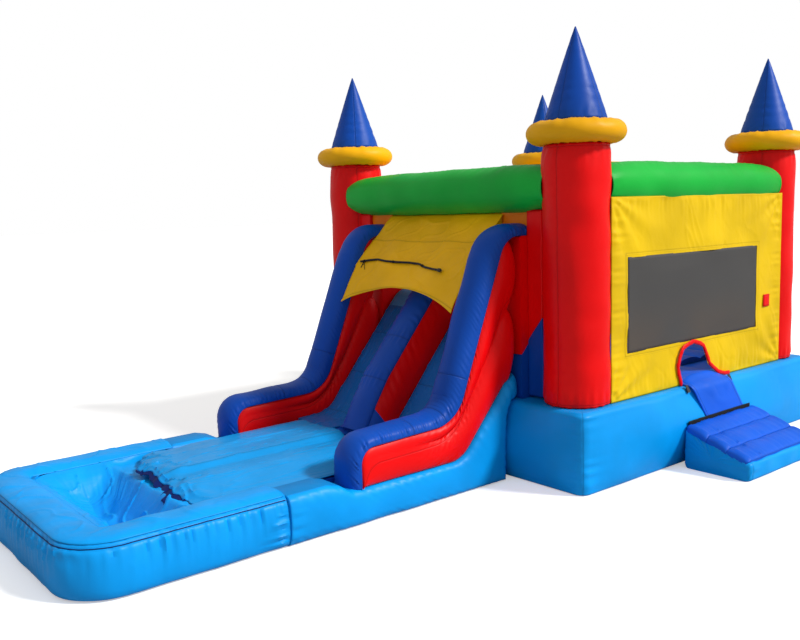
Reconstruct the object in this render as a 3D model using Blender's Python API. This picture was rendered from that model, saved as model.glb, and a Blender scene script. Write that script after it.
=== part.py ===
"""Inflatable castle with a two-lane water slide and a splash pool, modelled piece by piece.

Metres, +Z up. The origin is on the ground under the middle of the castle. The slide runs
towards -X, the doorway faces -Y and the air blower stands behind the castle at +X.
"""
import math

import bmesh
import bpy
import numpy as np
from mathutils import Matrix, Vector

# Clearance between pieces that touch
GAP = 0.0003

# Skin of the hollow air chambers and the ports that join them
AIR_SKIN = 0.008
PORT_RADIUS = 0.085

# Castle base
TOWER_SPACING = 3.25
BASE_OVERHANG = 0.355
BASE_HEIGHT = 0.73
BASE_BULGE = 0.09

# Towers
COLUMN_RADIUS = 0.30
COLUMN_ABOVE_BEAM = 0.145
COLUMN_WAIST = 0.008
RING_REACH = 0.32
RING_HALF_WIDTH = 0.122
RING_HALF_HEIGHT = 0.105
RING_TURNS = 12
CONE_RADIUS = 0.275
CONE_HEIGHT = 0.805
TOWER_TURNS = 24

# Beams, walls and roof
BEAM_RADIUS = 0.22
BEAM_TURNS = 20
BEAM_SETBACK = 0.075
BEAM_RISE = 1.935
WALL_SETBACK = 0.26
WALL_THICKNESS = 0.014
WINDOW_WIDTH = 2.21
WINDOW_HEIGHT = 0.86
WINDOW_SILL = 0.43
WINDOW_SHIFT = -0.13
MESH_THICKNESS = 0.004
PATCH_BESIDE_WINDOW = 0.14
ROOF_THICKNESS = 0.008
ROOF_SAG = 0.12

# Doorway in the entrance wall
DOOR_WIDTH = 0.83
DOOR_HEIGHT = 0.40
DOOR_CENTRE = 0.015
DOOR_LEAN = 0.27
BINDING_RADIUS = 0.016
PANEL_WIDTH = 0.64
PANEL_SHIFT = -0.075
PANEL_SKEW = 0.19
PANEL_THICKNESS = 0.010
PANEL_DROP = 0.28

# Entrance ramp
RAMP_WIDTH = 1.22
RAMP_LENGTH = 0.67
RAMP_BELOW_PANEL = 0.02
RAMP_FRONT_HEIGHT = 0.21
RAMP_PAD_THICKNESS = 0.05
RAMP_CHANNELS = 3

# Slide rails, as heights and as reaches in front of the castle's front face
RAIL_WIDTH = 0.335
RAIL_INSIDE = 0.85
RAIL_BELOW_BEAM = 0.10
RAIL_CREST_REACH = 0.14
RAIL_TOE_REACH = 0.77
RAIL_FOOT_TOP = 0.62
RAIL_NOSE_REACH = 1.75
RAIL_REAR_SETBACK = 0.11
RAIL_SHELF = 0.30
RAIL_SEAT_REAR = 1.13
RAIL_SEAT_TOE_REACH = 0.64
RAIL_LOBE = 0.042
RAIL_CREASE = 0.43
BAND_DEPTH = 0.105
RAIL_STATIONS = 21
RAIL_END_NOTCH = 0.36

# Slide bed, lanes and divider
PLATFORM_HEIGHT = 1.62
PLATFORM_LENGTH = 0.55
SLOPE_SEAT_RUN = 0.54
SLOPE_SEAT_RISE = 0.61
BED_EDGE = 0.03
LANE_CREST_SETBACK = 0.32
LANE_TOE_REACH = 0.70
LANE_END_REACH = 1.07
LANE_END_HEIGHT = 0.40
LANE_THICKNESS = 0.012
DIVIDER_WIDTH = 0.50
DIVIDER_CREST_WIDTH = 0.35
DIVIDER_HEIGHT = 0.30
DIVIDER_BAND_DEPTH = 0.08
DIVIDER_NOSE_REACH = 0.97
DIVIDER_NOSE_SLOPE = 0.12

# Climbing wall inside the castle
CLIMB_WIDTH = 1.20
CLIMB_RUN = 0.85
STEP_COUNT = 3
STEP_RADIUS = 0.055

# Jumping floor
FLOOR_THICKNESS = 0.07
FLOOR_CHANNELS = 7
FLOOR_WIDTH = 2.60

# Pool
POOL_LENGTH = 4.10
POOL_SEAM_REACH = 2.44
POOL_WALL_WIDTH = 0.37
POOL_WALL_HEIGHT = 0.42
POOL_CORNER_RADIUS = 0.42
LINER_THICKNESS = 0.012
BASIN_SLOPE = 0.26
BASIN_FLOOR = 0.04
EXIT_BED_HEIGHT = 0.33
EXIT_LINER_RISE = 0.11
EXIT_LINER_OVERHANG = 0.10

# Canopy and the water hose on it
CANOPY_THICKNESS = 0.008
CANOPY_ARCH = 0.13
CANOPY_FOLD = 0.012
HOSE_RADIUS = 0.011
HOSE_CAP_RADIUS = 0.019

# Doorway buckles
BUCKLE_WIDTH = 0.038
BUCKLE_THICKNESS = 0.014
BUCKLE_BESIDE_PANEL = 0.055

# Zipper and blower behind the castle
ZIPPER_LENGTH = 0.46
ZIPPER_WIDTH = 0.036
ZIPPER_SIDE = -0.30
BLOWER_STANDOFF = 0.74
BLOWER_SIDE = 0.62
BLOWER_AXIS_HEIGHT = 0.285
SCROLL_START = 0.175
SCROLL_END = 0.255
BLOWER_DEPTH = 0.26
BLOWER_WALL = 0.008
DUCT_HEIGHT = 0.20
DUCT_LENGTH = 0.36
INTAKE_RADIUS = 0.115
IMPELLER_RADIUS = 0.145
IMPELLER_BLADES = 12
MOTOR_RADIUS = 0.075
SHAFT_RADIUS = 0.010
MOTOR_LENGTH = 0.13
SLEEVE_THICKNESS = 0.004
ROCKER_RADIUS = 0.0118
ROCKER_LENGTH = 0.030
ROCKER_THROW = 24.0

# Derived places
HALF_SPACING = TOWER_SPACING / 2
HALF_BASE = HALF_SPACING + BASE_OVERHANG
FRONT = -HALF_BASE
BEAM_LINE = HALF_SPACING + BEAM_SETBACK
BEAM_HEIGHT = BASE_HEIGHT + BEAM_RISE
WALL_INSIDE = HALF_SPACING + WALL_SETBACK
WALL_OUTSIDE = WALL_INSIDE + WALL_THICKNESS
DECK = BASE_HEIGHT + GAP
COLUMN_TOP = BEAM_HEIGHT + BEAM_RADIUS + COLUMN_ABOVE_BEAM
RAIL_TOP = BEAM_HEIGHT - BEAM_RADIUS - RAIL_BELOW_BEAM - BAND_DEPTH
RAMP_BACK_HEIGHT = BASE_HEIGHT - PANEL_DROP - RAMP_BELOW_PANEL
RAIL_REAR = FRONT + RAIL_REAR_SETBACK
RAIL_OUTSIDE = RAIL_INSIDE + RAIL_WIDTH
RAIL_MIDDLE = RAIL_INSIDE + RAIL_WIDTH / 2
BED_HALF_WIDTH = RAIL_INSIDE - 0.005
BED_BACK = FRONT - BASE_BULGE - 0.005
PLATFORM_FRONT = RAIL_REAR + GAP
PLATFORM_BACK = FRONT + LANE_CREST_SETBACK + PLATFORM_LENGTH
BED_HEAD = PLATFORM_FRONT + SLOPE_SEAT_RUN
POOL_SEAM = FRONT - POOL_SEAM_REACH
POOL_END = FRONT - POOL_LENGTH

# Colour, roughness and metallic value of each finish
FINISHES = {
    "sky_vinyl": ((0.02, 0.42, 0.85), 0.38, 0.0),
    "royal_vinyl": ((0.01, 0.10, 0.52), 0.38, 0.0),
    "red_vinyl": ((0.78, 0.01, 0.01), 0.35, 0.0),
    "green_vinyl": ((0.03, 0.55, 0.09), 0.38, 0.0),
    "yellow_vinyl": ((0.86, 0.60, 0.01), 0.50, 0.0),
    "gold_vinyl": ((0.88, 0.52, 0.01), 0.45, 0.0),
    "pool_liner": ((0.02, 0.36, 0.78), 0.20, 0.0),
    "lane_liner": ((0.02, 0.16, 0.55), 0.18, 0.0),
    "dark_mesh": ((0.06, 0.06, 0.06), 0.80, 0.0),
    "black_webbing": ((0.02, 0.02, 0.02), 0.75, 0.0),
    "black_plastic": ((0.03, 0.03, 0.03), 0.45, 0.0),
    "blower_plastic": ((0.85, 0.35, 0.02), 0.45, 0.0),
    "steel": ((0.60, 0.60, 0.62), 0.30, 1.0),
}


def clear_scene():
    """Remove whatever objects the open file holds."""
    for item in list(bpy.data.objects):
        bpy.data.objects.remove(item, do_unlink=True)


def make_material(name, finish):
    """A Principled material of its own for one piece."""
    colour, roughness, metallic = FINISHES[finish]
    material = bpy.data.materials.new(name)
    material.use_nodes = True
    shader = material.node_tree.nodes["Principled BSDF"]
    shader.inputs["Base Color"].default_value = (*colour, 1.0)
    shader.inputs["Roughness"].default_value = roughness
    shader.inputs["Metallic"].default_value = metallic
    return material


def add_object(name, bm, finish, smooth_angle=40.0):
    """Turn a bmesh into a named, coloured and shaded object."""
    bmesh.ops.recalc_face_normals(bm, faces=bm.faces)
    mesh = bpy.data.meshes.new(name)
    bm.to_mesh(mesh)
    bm.free()
    mesh.shade_smooth()
    mesh.set_sharp_from_angle(angle=math.radians(smooth_angle))
    mesh.materials.append(make_material(name, finish))
    piece = bpy.data.objects.new(name, mesh)
    bpy.context.collection.objects.link(piece)
    return piece


def add_cutter(name, bm):
    """A shape that only cuts others: drawn as wire and never rendered."""
    bmesh.ops.recalc_face_normals(bm, faces=bm.faces)
    mesh = bpy.data.meshes.new(name)
    bm.to_mesh(mesh)
    bm.free()
    cutter = bpy.data.objects.new(name, mesh)
    bpy.context.collection.objects.link(cutter)
    cutter.hide_render = True
    cutter.display_type = "WIRE"
    return cutter


def cut(piece, cutter):
    """Take the cutter's shape out of a piece."""
    boolean = piece.modifiers.new("Cut " + cutter.name, "BOOLEAN")
    boolean.operation = "DIFFERENCE"
    boolean.object = cutter


# Outlines and paths
def rounded_path(corners, radii, turn=math.radians(12.0)):
    """Points of a line through 2-D corners, each inner corner replaced by a tangent arc."""
    points = [Vector(corners[0])]
    for before, corner, after, radius in zip(corners, corners[1:], corners[2:], radii):
        here = Vector(corner)
        back = (Vector(before) - here).normalized()
        ahead = (Vector(after) - here).normalized()
        opening = back.angle(ahead)
        reach = radius / math.tan(opening / 2)
        centre = here + (back + ahead).normalized() * (radius / math.sin(opening / 2))
        start = here + back * reach - centre
        steps = max(2, math.ceil((math.pi - opening) / turn))
        side = 1.0 if back.x * ahead.y - back.y * ahead.x < 0 else -1.0
        for step in range(steps + 1):
            angle = side * (math.pi - opening) * step / steps
            swing = Matrix.Rotation(angle, 2)
            points.append(centre + swing @ start)
    points.append(Vector(corners[-1]))
    return np.array([(p.x, p.y) for p in points])


def resample(points, count):
    """Evenly spaced points along a line, ends kept."""
    steps = np.linalg.norm(np.diff(points, axis=0), axis=1)
    along = np.concatenate([[0.0], np.cumsum(steps)])
    wanted = np.linspace(0.0, along[-1], count)
    return np.stack([np.interp(wanted, along, points[:, k]) for k in range(2)], axis=1)


def left_normals(points):
    """Unit normals to the left of a line's direction, mitred at its points."""
    runs = np.diff(points, axis=0)
    runs /= np.linalg.norm(runs, axis=1)[:, None]
    sides = np.stack([-runs[:, 1], runs[:, 0]], axis=1)
    first = np.vstack([sides[:1], sides])
    second = np.vstack([sides, sides[-1:]])
    middle = first + second
    middle /= np.linalg.norm(middle, axis=1)[:, None]
    return middle / np.sum(middle * first, axis=1)[:, None]


def offset(points, distance):
    """A line moved to its left by a distance."""
    return points + left_normals(points) * distance


def split_long(points, longest):
    """Add points so that no step of a line is longer than the given length."""
    out = [points[0]]
    for start, end in zip(points, points[1:]):
        pieces = max(1, math.ceil(np.linalg.norm(end - start) / longest))
        for k in range(1, pieces + 1):
            out.append(start + (end - start) * k / pieces)
    return np.array(out)


# Solids
def loft(bm, rings, paired_start=False):
    """Join closed rings of equal count with quads and cap both ends; a paired start gets quads across."""
    rows = [[bm.verts.new(point) for point in ring] for ring in rings]
    count = len(rows[0])
    for low, high in zip(rows, rows[1:]):
        for k in range(count):
            after = (k + 1) % count
            bm.faces.new((low[k], low[after], high[after], high[k]))
    if paired_start:
        for k in range(count // 2 - 1):
            bm.faces.new((rows[0][count - 1 - k], rows[0][count - 2 - k], rows[0][k + 1], rows[0][k]))
    else:
        bm.faces.new(list(reversed(rows[0])))
    bm.faces.new(rows[-1])


def hoop(bm, rings):
    """Join closed rings into a closed band, the last ring to the first."""
    rows = [[bm.verts.new(point) for point in ring] for ring in rings]
    count = len(rows[0])
    for low, high in zip(rows, rows[1:] + rows[:1]):
        for k in range(count):
            after = (k + 1) % count
            bm.faces.new((low[k], low[after], high[after], high[k]))


def revolve(bm, profile, steps, matrix=Matrix.Identity(4)):
    """Spin a profile of (radius, height) points round the Z axis and place it."""
    verts = [bm.verts.new((radius, 0.0, height)) for radius, height in profile]
    edges = [bm.edges.new(pair) for pair in zip(verts, verts[1:])]
    bmesh.ops.spin(bm, geom=verts + edges, cent=(0, 0, 0), axis=(0, 0, 1),
                   angle=math.tau, steps=steps, use_merge=True)
    bmesh.ops.remove_doubles(bm, verts=bm.verts, dist=0.00005)
    bmesh.ops.transform(bm, matrix=matrix, verts=bm.verts)


def pillow_slab(bm, outline, slices):
    """Stack one X-Z outline along Y; each slice is (y, inset), so its edges round over."""
    closed = np.vstack([outline[-1:], outline, outline[:1]])
    inward = left_normals(closed)[1:-1]
    area = np.sum(outline[:, 0] * np.roll(outline[:, 1], -1) - np.roll(outline[:, 0], -1) * outline[:, 1])
    if area < 0:
        inward = -inward
    rings = []
    for y, inset in slices:
        ring = outline + inward * inset
        rings.append([(x, y, z) for x, z in ring])
    loft(bm, rings)


def box(bm, low, high):
    """A plain block between two corners."""
    size = [b - a for a, b in zip(low, high)]
    centre = [(a + b) / 2 for a, b in zip(low, high)]
    matrix = Matrix.Translation(centre) @ Matrix.Diagonal((*size, 1.0))
    bmesh.ops.create_cube(bm, size=1.0, matrix=matrix)


def rod(bm, start, end, radius):
    """A plain round rod between two points."""
    run = Vector(end) - Vector(start)
    turn = run.to_track_quat("Z", "Y").to_matrix().to_4x4()
    place = Matrix.Translation((Vector(start) + Vector(end)) / 2) @ turn
    bmesh.ops.create_cone(bm, cap_ends=True, segments=12, radius1=radius, radius2=radius, depth=run.length,
                          matrix=place)


def rounded_rectangle(half_x, half_y, radius, steps=4):
    """Points round a rectangle with rounded corners, anticlockwise from the +X side."""
    points = []
    for quarter in range(4):
        start = quarter * math.pi / 2
        sign_x = 1 if quarter in (0, 3) else -1
        sign_y = 1 if quarter in (0, 1) else -1
        for k in range(steps + 1):
            angle = start + k * math.pi / 2 / steps
            points.append((sign_x * (half_x - radius) + radius * math.cos(angle),
                           sign_y * (half_y - radius) + radius * math.sin(angle)))
    return points


def tube_along(name, points, radius, finish, sides=2):
    """A round tube on a smooth line of points, with filled ends, as a mesh object."""
    curve = bpy.data.curves.new(name + "_path", "CURVE")
    curve.dimensions = "3D"
    curve.bevel_depth = radius
    curve.bevel_resolution = sides
    curve.use_fill_caps = True
    spline = curve.splines.new("POLY")
    spline.points.add(len(points) - 1)
    for target, point in zip(spline.points, points):
        target.co = (*point, 1.0)
    curve.materials.append(make_material(name, finish))
    piece = bpy.data.objects.new(name, curve)
    bpy.context.collection.objects.link(piece)
    return piece


# Castle base and floor
def base_side(along, height):
    """How far the base's side stands out at a place along it and a height up it."""
    across = 1.0 - min(1.0, abs(along) / HALF_BASE) ** 4
    up = 1.0 - (2.0 * height / BASE_HEIGHT - 1.0) ** 2
    return BASE_BULGE * across * up


BASE_LEVELS = 6
BASE_COLUMNS = 12


def base_rings(inset, levels, columns):
    """Rings round the base from its underside to its top, moved inward by a distance."""
    reach = HALF_BASE - inset
    ticks = np.linspace(-reach, reach, columns + 1)[:-1]
    rings = []
    for z in np.linspace(inset, BASE_HEIGHT - inset, levels + 1):
        ring = []
        for turn in range(4):
            swing = Matrix.Rotation(turn * math.pi / 2, 3, "Z")
            for along in ticks:
                out = reach + base_side(along, z)
                ring.append(swing @ Vector((along, -out, z)))
        rings.append(ring)
    return rings


def build_base():
    """The base: a hollow skin with a flat underside and four swollen sides, and its air ports."""
    bm = bmesh.new()
    loft(bm, base_rings(0.0, BASE_LEVELS, BASE_COLUMNS))
    base = add_object("castle_base", bm, "sky_vinyl", 50)
    bm = bmesh.new()
    loft(bm, base_rings(AIR_SKIN, 4, 6))
    cut(base, add_cutter("base_chamber", bm))

    # Air comes in behind from the sleeve and goes up into each column
    bm = bmesh.new()
    level = blower_place().z - SCROLL_END + DUCT_HEIGHT / 2
    back = HALF_BASE + BASE_BULGE
    rod(bm, (HALF_BASE - 0.05, BLOWER_SIDE, level), (back + 0.05, BLOWER_SIDE, level), PORT_RADIUS)
    for sides in TOWERS.values():
        low, high = (tower_place(sides, BASE_HEIGHT + shift).translation for shift in (-0.05, 0.05))
        rod(bm, low, high, PORT_RADIUS)
    cut(base, add_cutter("base_ports", bm))
    return base


def build_floor():
    """The jumping floor: a pad sewn into crowned channels across the castle."""
    start = PLATFORM_BACK + GAP
    end = HALF_SPACING + 0.075
    pitch = (end - start) / FLOOR_CHANNELS
    top = []
    for channel in range(FLOOR_CHANNELS):
        for k in range(6):
            share = k / 6
            crown = math.sin(math.pi * share) ** 0.6
            top.append((start + pitch * (channel + share), DECK + FLOOR_THICKNESS * (0.45 + 0.55 * crown)))
    top.append((end, DECK + FLOOR_THICKNESS * 0.45))
    outline = np.array(top + [(end, DECK), (start, DECK)])
    half = FLOOR_WIDTH / 2
    bm = bmesh.new()
    pillow_slab(bm, outline, [(-half, 0.0), (half, 0.0)])
    return add_object("jumping_floor", bm, "royal_vinyl")


# Towers
TOWERS = {"near": (-1, -1), "left": (-1, 1), "right": (1, -1), "far": (1, 1)}


def tower_place(sides, height=0.0):
    """Move to a tower's axis."""
    return Matrix.Translation((sides[0] * HALF_SPACING, sides[1] * HALF_SPACING, height))


def ring_section():
    """Radius and height of the points round a tower ring's tube, about the ring's middle."""
    angles = np.linspace(0.0, math.tau, RING_TURNS, endpoint=False)
    return RING_REACH + RING_HALF_WIDTH * np.cos(angles), RING_HALF_HEIGHT * np.sin(angles)


def ring_face(radius, upper):
    """Height of the ring's upper or lower face at a radius, about the ring's middle."""
    radii, heights = ring_section()
    keep = heights > -1e-9 if upper else heights < 1e-9
    order = np.argsort(radii[keep])
    return np.interp(radius, radii[keep][order], heights[keep][order])


def build_tower(label, sides):
    """A column, the puffy ring on it and the cone on the ring."""
    swell = COLUMN_WAIST
    shoulder = 0.03
    profile = [(0.0, DECK), (COLUMN_RADIUS - shoulder, DECK),
               (COLUMN_RADIUS - shoulder * 0.3, DECK + shoulder * 0.3)]
    for k in range(5):
        share = k / 4
        height = DECK + shoulder + (COLUMN_TOP - DECK - 2 * shoulder) * share
        profile.append((COLUMN_RADIUS - swell * math.sin(2 * math.pi * share) ** 2, height))
    profile += [(COLUMN_RADIUS - shoulder * 0.3, COLUMN_TOP - shoulder * 0.3),
                (COLUMN_RADIUS - shoulder, COLUMN_TOP), (0.0, COLUMN_TOP)]
    bm = bmesh.new()
    revolve(bm, profile, TOWER_TURNS, tower_place(sides))
    column = add_object("tower_column_" + label, bm, "red_vinyl")
    inner = COLUMN_RADIUS * math.cos(math.pi / TOWER_TURNS) - COLUMN_WAIST - AIR_SKIN
    bm = bmesh.new()
    low = DECK + shoulder
    high = COLUMN_TOP - shoulder
    chamber = [(0.0, DECK - 0.05), (PORT_RADIUS, DECK - 0.05), (PORT_RADIUS, low), (inner, low),
               (inner, high), (0.0, high)]
    revolve(bm, chamber, TOWER_TURNS // 2, tower_place(sides))
    cut(column, add_cutter("column_chamber_" + label, bm))

    # Ports face the two beams that meet the column
    middle = tower_place(sides, BEAM_HEIGHT).translation
    to_x = Vector((-sides[0], 0.0, 0.0))
    to_y = Vector((0.0, -sides[1], 0.0))
    bm = bmesh.new()
    for toward, beside in ((to_x, -to_y * BEAM_SETBACK), (to_y, -to_x * BEAM_SETBACK)):
        rod(bm, middle + beside + toward * 0.10, middle + beside + toward * (COLUMN_RADIUS + 0.05),
            PORT_RADIUS)
    cut(column, add_cutter("column_ports_" + label, bm))

    # The ring rests where its underside first meets the column's top
    rim = np.array(profile[-4:-1][::-1])
    spots = np.concatenate([rim[:, 0], ring_section()[0]])
    spots = spots[spots <= COLUMN_RADIUS]
    ring_height = GAP + np.max(np.interp(spots, rim[:, 0], rim[:, 1]) - ring_face(spots, False))
    rings = []
    for step in range(TOWER_TURNS):
        place = tower_place(sides, ring_height) @ Matrix.Rotation(math.tau * step / TOWER_TURNS, 4, "Z")
        rings.append([place @ Vector((radius, 0.0, height)) for radius, height in zip(*ring_section())])
    bm = bmesh.new()
    hoop(bm, rings)
    add_object("tower_ring_" + label, bm, "gold_vinyl")

    # The cone stands on the ring's upper side, inside its crest
    foot = np.array([CONE_RADIUS - 0.01, CONE_RADIUS])
    cone_base = ring_height + GAP + np.max(ring_face(foot, True) - np.array([0.0, 0.012]))
    tip = 0.006
    profile = [(0.0, cone_base), (CONE_RADIUS - 0.01, cone_base), (CONE_RADIUS, cone_base + 0.012),
               (CONE_RADIUS * 0.52, cone_base + CONE_HEIGHT * 0.49), (tip, cone_base + CONE_HEIGHT - tip),
               (0.0, cone_base + CONE_HEIGHT)]
    bm = bmesh.new()
    revolve(bm, profile, TOWER_TURNS, tower_place(sides))
    add_object("tower_cone_" + label, bm, "royal_vinyl")


def column_cutter(label, sides):
    """A column's shape with its clearance, for the beams that butt against it."""
    bm = bmesh.new()
    profile = [(0.0, BASE_HEIGHT), (COLUMN_RADIUS + GAP, BASE_HEIGHT),
               (COLUMN_RADIUS + GAP, COLUMN_TOP + 0.1), (0.0, COLUMN_TOP + 0.1)]
    revolve(bm, profile, 56, tower_place(sides))
    return add_cutter("column_clearance_" + label, bm)


# Beams, walls and roof
SIDES = {"entrance": (0, ("near", "right")), "back": (1, ("right", "far")),
         "garden": (2, ("far", "left")), "slide": (3, ("left", "near"))}


def side_turn(side):
    """Turn from the entrance side, which faces -Y, to another side of the castle."""
    return Matrix.Rotation(SIDES[side][0] * math.pi / 2, 4, "Z")


def beam_underside(out):
    """Height of a beam's underside at a distance outward from its axis."""
    angles = np.linspace(math.pi, math.tau, BEAM_TURNS // 2 + 1)
    return BEAM_HEIGHT + BEAM_RADIUS * np.interp(out / BEAM_RADIUS, np.cos(angles), np.sin(angles))


def build_beam(side, cutters):
    """A green tube between two columns, its ends shaped to their round sides."""
    half = HALF_SPACING - COLUMN_RADIUS * 0.56
    sections = 8
    turns = BEAM_TURNS
    rings = []
    for k in range(sections + 1):
        x = half * (2 * k / sections - 1)
        radius = BEAM_RADIUS * (1.0 - 0.10 * abs(2 * k / sections - 1) ** 8)
        rings.append([side_turn(side) @ Vector((x, -BEAM_LINE + radius * math.cos(math.tau * j / turns),
                                                BEAM_HEIGHT + radius * math.sin(math.tau * j / turns)))
                      for j in range(turns)])
    bm = bmesh.new()
    loft(bm, rings)
    beam = add_object("beam_" + side, bm, "green_vinyl")
    bore = BEAM_RADIUS * 0.90 * math.cos(math.pi / turns) - AIR_SKIN
    bm = bmesh.new()
    start, end = (side_turn(side) @ Vector((x, -BEAM_LINE, BEAM_HEIGHT)) for x in (-half - 0.1, half + 0.1))
    rod(bm, start, end, bore)
    cut(beam, add_cutter("beam_bore_" + side, bm))
    for label in SIDES[side][1]:
        cut(beam, cutters[label])
    return beam


def wall_half_width():
    """Half the width of a wall that ends just before the columns' round sides."""
    depth = WALL_OUTSIDE - HALF_SPACING
    return HALF_SPACING - math.sqrt((COLUMN_RADIUS + 0.002) ** 2 - (depth - WALL_THICKNESS) ** 2)


def door_arch(margin=0.0):
    """The doorway's leaning arch as X-Z points from its left foot to its right foot."""
    half = DOOR_WIDTH / 2 + margin
    points = []
    for k in range(17):
        angle = math.pi * (1 - k / 16)
        lift = math.sin(angle) ** 0.85 if k not in (0, 16) else 0.0
        lean = -DOOR_LEAN * lift
        points.append((DOOR_CENTRE + half * math.cos(angle) + lean, DECK + (DOOR_HEIGHT + margin) * lift))
    return points


def build_wall(side, entrance):
    """A vinyl wall between two columns; the entrance has a doorway and a mesh window."""
    half = wall_half_width()
    top = beam_underside(WALL_INSIDE - BEAM_LINE) - GAP
    outline = [(-half, DECK)]
    if entrance:
        outline += door_arch()
    outline += [(half, DECK), (half, top), (-half, top)]
    turn = side_turn(side)
    bm = bmesh.new()
    loft(bm, [[turn @ Vector((x, y, z)) for x, z in outline] for y in (-WALL_OUTSIDE, -WALL_INSIDE)])
    wall = add_object("wall_" + side, bm, "yellow_vinyl")
    if not entrance:
        return

    low = (WINDOW_SHIFT - WINDOW_WIDTH / 2, DECK + WINDOW_SILL)
    high = (WINDOW_SHIFT + WINDOW_WIDTH / 2, DECK + WINDOW_SILL + WINDOW_HEIGHT)
    bm = bmesh.new()
    box(bm, (low[0], -WALL_OUTSIDE - 0.05, low[1]), (high[0], -WALL_INSIDE + 0.05, high[1]))
    bmesh.ops.transform(bm, matrix=turn, verts=bm.verts)
    cut(wall, add_cutter("window_hole_" + side, bm))

    middle = (WALL_OUTSIDE + WALL_INSIDE) / 2
    bm = bmesh.new()
    box(bm, (low[0] + GAP, -middle - MESH_THICKNESS / 2, low[1] + GAP),
        (high[0] - GAP, -middle + MESH_THICKNESS / 2, high[1] - GAP))
    bmesh.ops.transform(bm, matrix=turn, verts=bm.verts)
    add_object("window_mesh_" + side, bm, "dark_mesh")


def build_roof():
    """The roof sheet that lies on the beams, sagging in the middle, corners cut for the towers."""
    reach = BEAM_LINE + 0.01
    flat = BEAM_LINE - BEAM_RADIUS * 0.35
    corner = 2 * HALF_SPACING - (COLUMN_RADIUS + 0.02) * math.sqrt(2)
    top = BEAM_HEIGHT + BEAM_RADIUS + GAP
    ticks = np.concatenate([[-reach], np.linspace(-flat, flat, 11), [reach]])
    bm = bmesh.new()
    grid = {}
    for i, x in enumerate(ticks):
        for j, y in enumerate(ticks):
            over = max(0.0, abs(x) + abs(y) - corner) / 2
            spot_x = x - math.copysign(over, x)
            spot_y = y - math.copysign(over, y)
            edge = min(1.0, max(abs(spot_x), abs(spot_y)) / flat)
            grid[i, j] = bm.verts.new((spot_x, spot_y, top - ROOF_SAG * (1.0 - edge ** 2) ** 0.7))
    count = len(ticks)
    for i in range(count - 1):
        for j in range(count - 1):
            bm.faces.new((grid[i, j], grid[i + 1, j], grid[i + 1, j + 1], grid[i, j + 1]))
    bmesh.ops.remove_doubles(bm, verts=bm.verts, dist=0.0001)
    roof = add_object("roof_cover", bm, "yellow_vinyl")
    solid = roof.modifiers.new("Thickness", "SOLIDIFY")
    solid.thickness = ROOF_THICKNESS
    solid.offset = 1.0
    return roof


# Doorway pieces
def build_door_binding():
    """The red edge binding sewn round the doorway, in front of the wall."""
    front = -WALL_OUTSIDE - BINDING_RADIUS - GAP
    arch = door_arch(BINDING_RADIUS)
    lift = BINDING_RADIUS + GAP
    points = [(x, front, max(z, DECK + lift)) for x, z in arch]
    return tube_along("door_binding", points, BINDING_RADIUS, "red_vinyl", 1)


def build_entrance_panel():
    """The blue step panel: flat over the base's edge, then hanging down its side."""
    centre = DOOR_CENTRE + PANEL_SHIFT
    clear = 0.0015
    inner = -FLOOR_WIDTH / 2 - GAP
    profile = [(inner, DECK), (-HALF_BASE, DECK)]
    drops = 7
    for k in range(1, drops + 1):
        z = BASE_HEIGHT - PANEL_DROP * k / drops
        profile.append((-HALF_BASE - base_side(0.0, z) - clear, z))
    outer = offset(np.array(profile), -PANEL_THICKNESS)
    section = np.vstack([profile, outer[::-1]])
    rings = []
    for share in np.linspace(-1.0, 1.0, 7):
        rings.append([(centre + share * PANEL_WIDTH / 2
                       + PANEL_SKEW * max(0.0, BASE_HEIGHT - z) / PANEL_DROP, y, z)
                      for y, z in section])
    bm = bmesh.new()
    loft(bm, rings)
    return add_object("entrance_panel", bm, "royal_vinyl")


def build_wall_patch():
    """The small red hook-and-loop patch sewn to the wall beside the window."""
    left = WINDOW_SHIFT + WINDOW_WIDTH / 2 + PATCH_BESIDE_WINDOW
    low = DECK + WINDOW_SILL + 0.20
    front = -WALL_OUTSIDE - GAP
    bm = bmesh.new()
    box(bm, (left, front - 0.008, low), (left + 0.12, front, low + 0.13))
    patch = add_object("wall_patch", bm, "red_vinyl")
    bevel = patch.modifiers.new("Soft edge", "BEVEL")
    bevel.width = 0.003
    bevel.segments = 2
    return patch


def base_face_place(along, level):
    """A flat frame on the entrance side's cloth facet: X along it, Y up it and Z out of it."""
    low = BASE_HEIGHT * level / BASE_LEVELS
    high = BASE_HEIGHT * (level + 1) / BASE_LEVELS
    foot = Vector((along, -HALF_BASE - base_side(along, low), low))
    head = Vector((along, -HALF_BASE - base_side(along, high), high))
    side = Vector((1.0, 0.0, 0.0))
    up = (head - foot).normalized()
    out = side.cross(up)
    return Matrix.Translation((foot + head) / 2) @ Matrix((side, up, out)).transposed().to_4x4()


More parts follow.
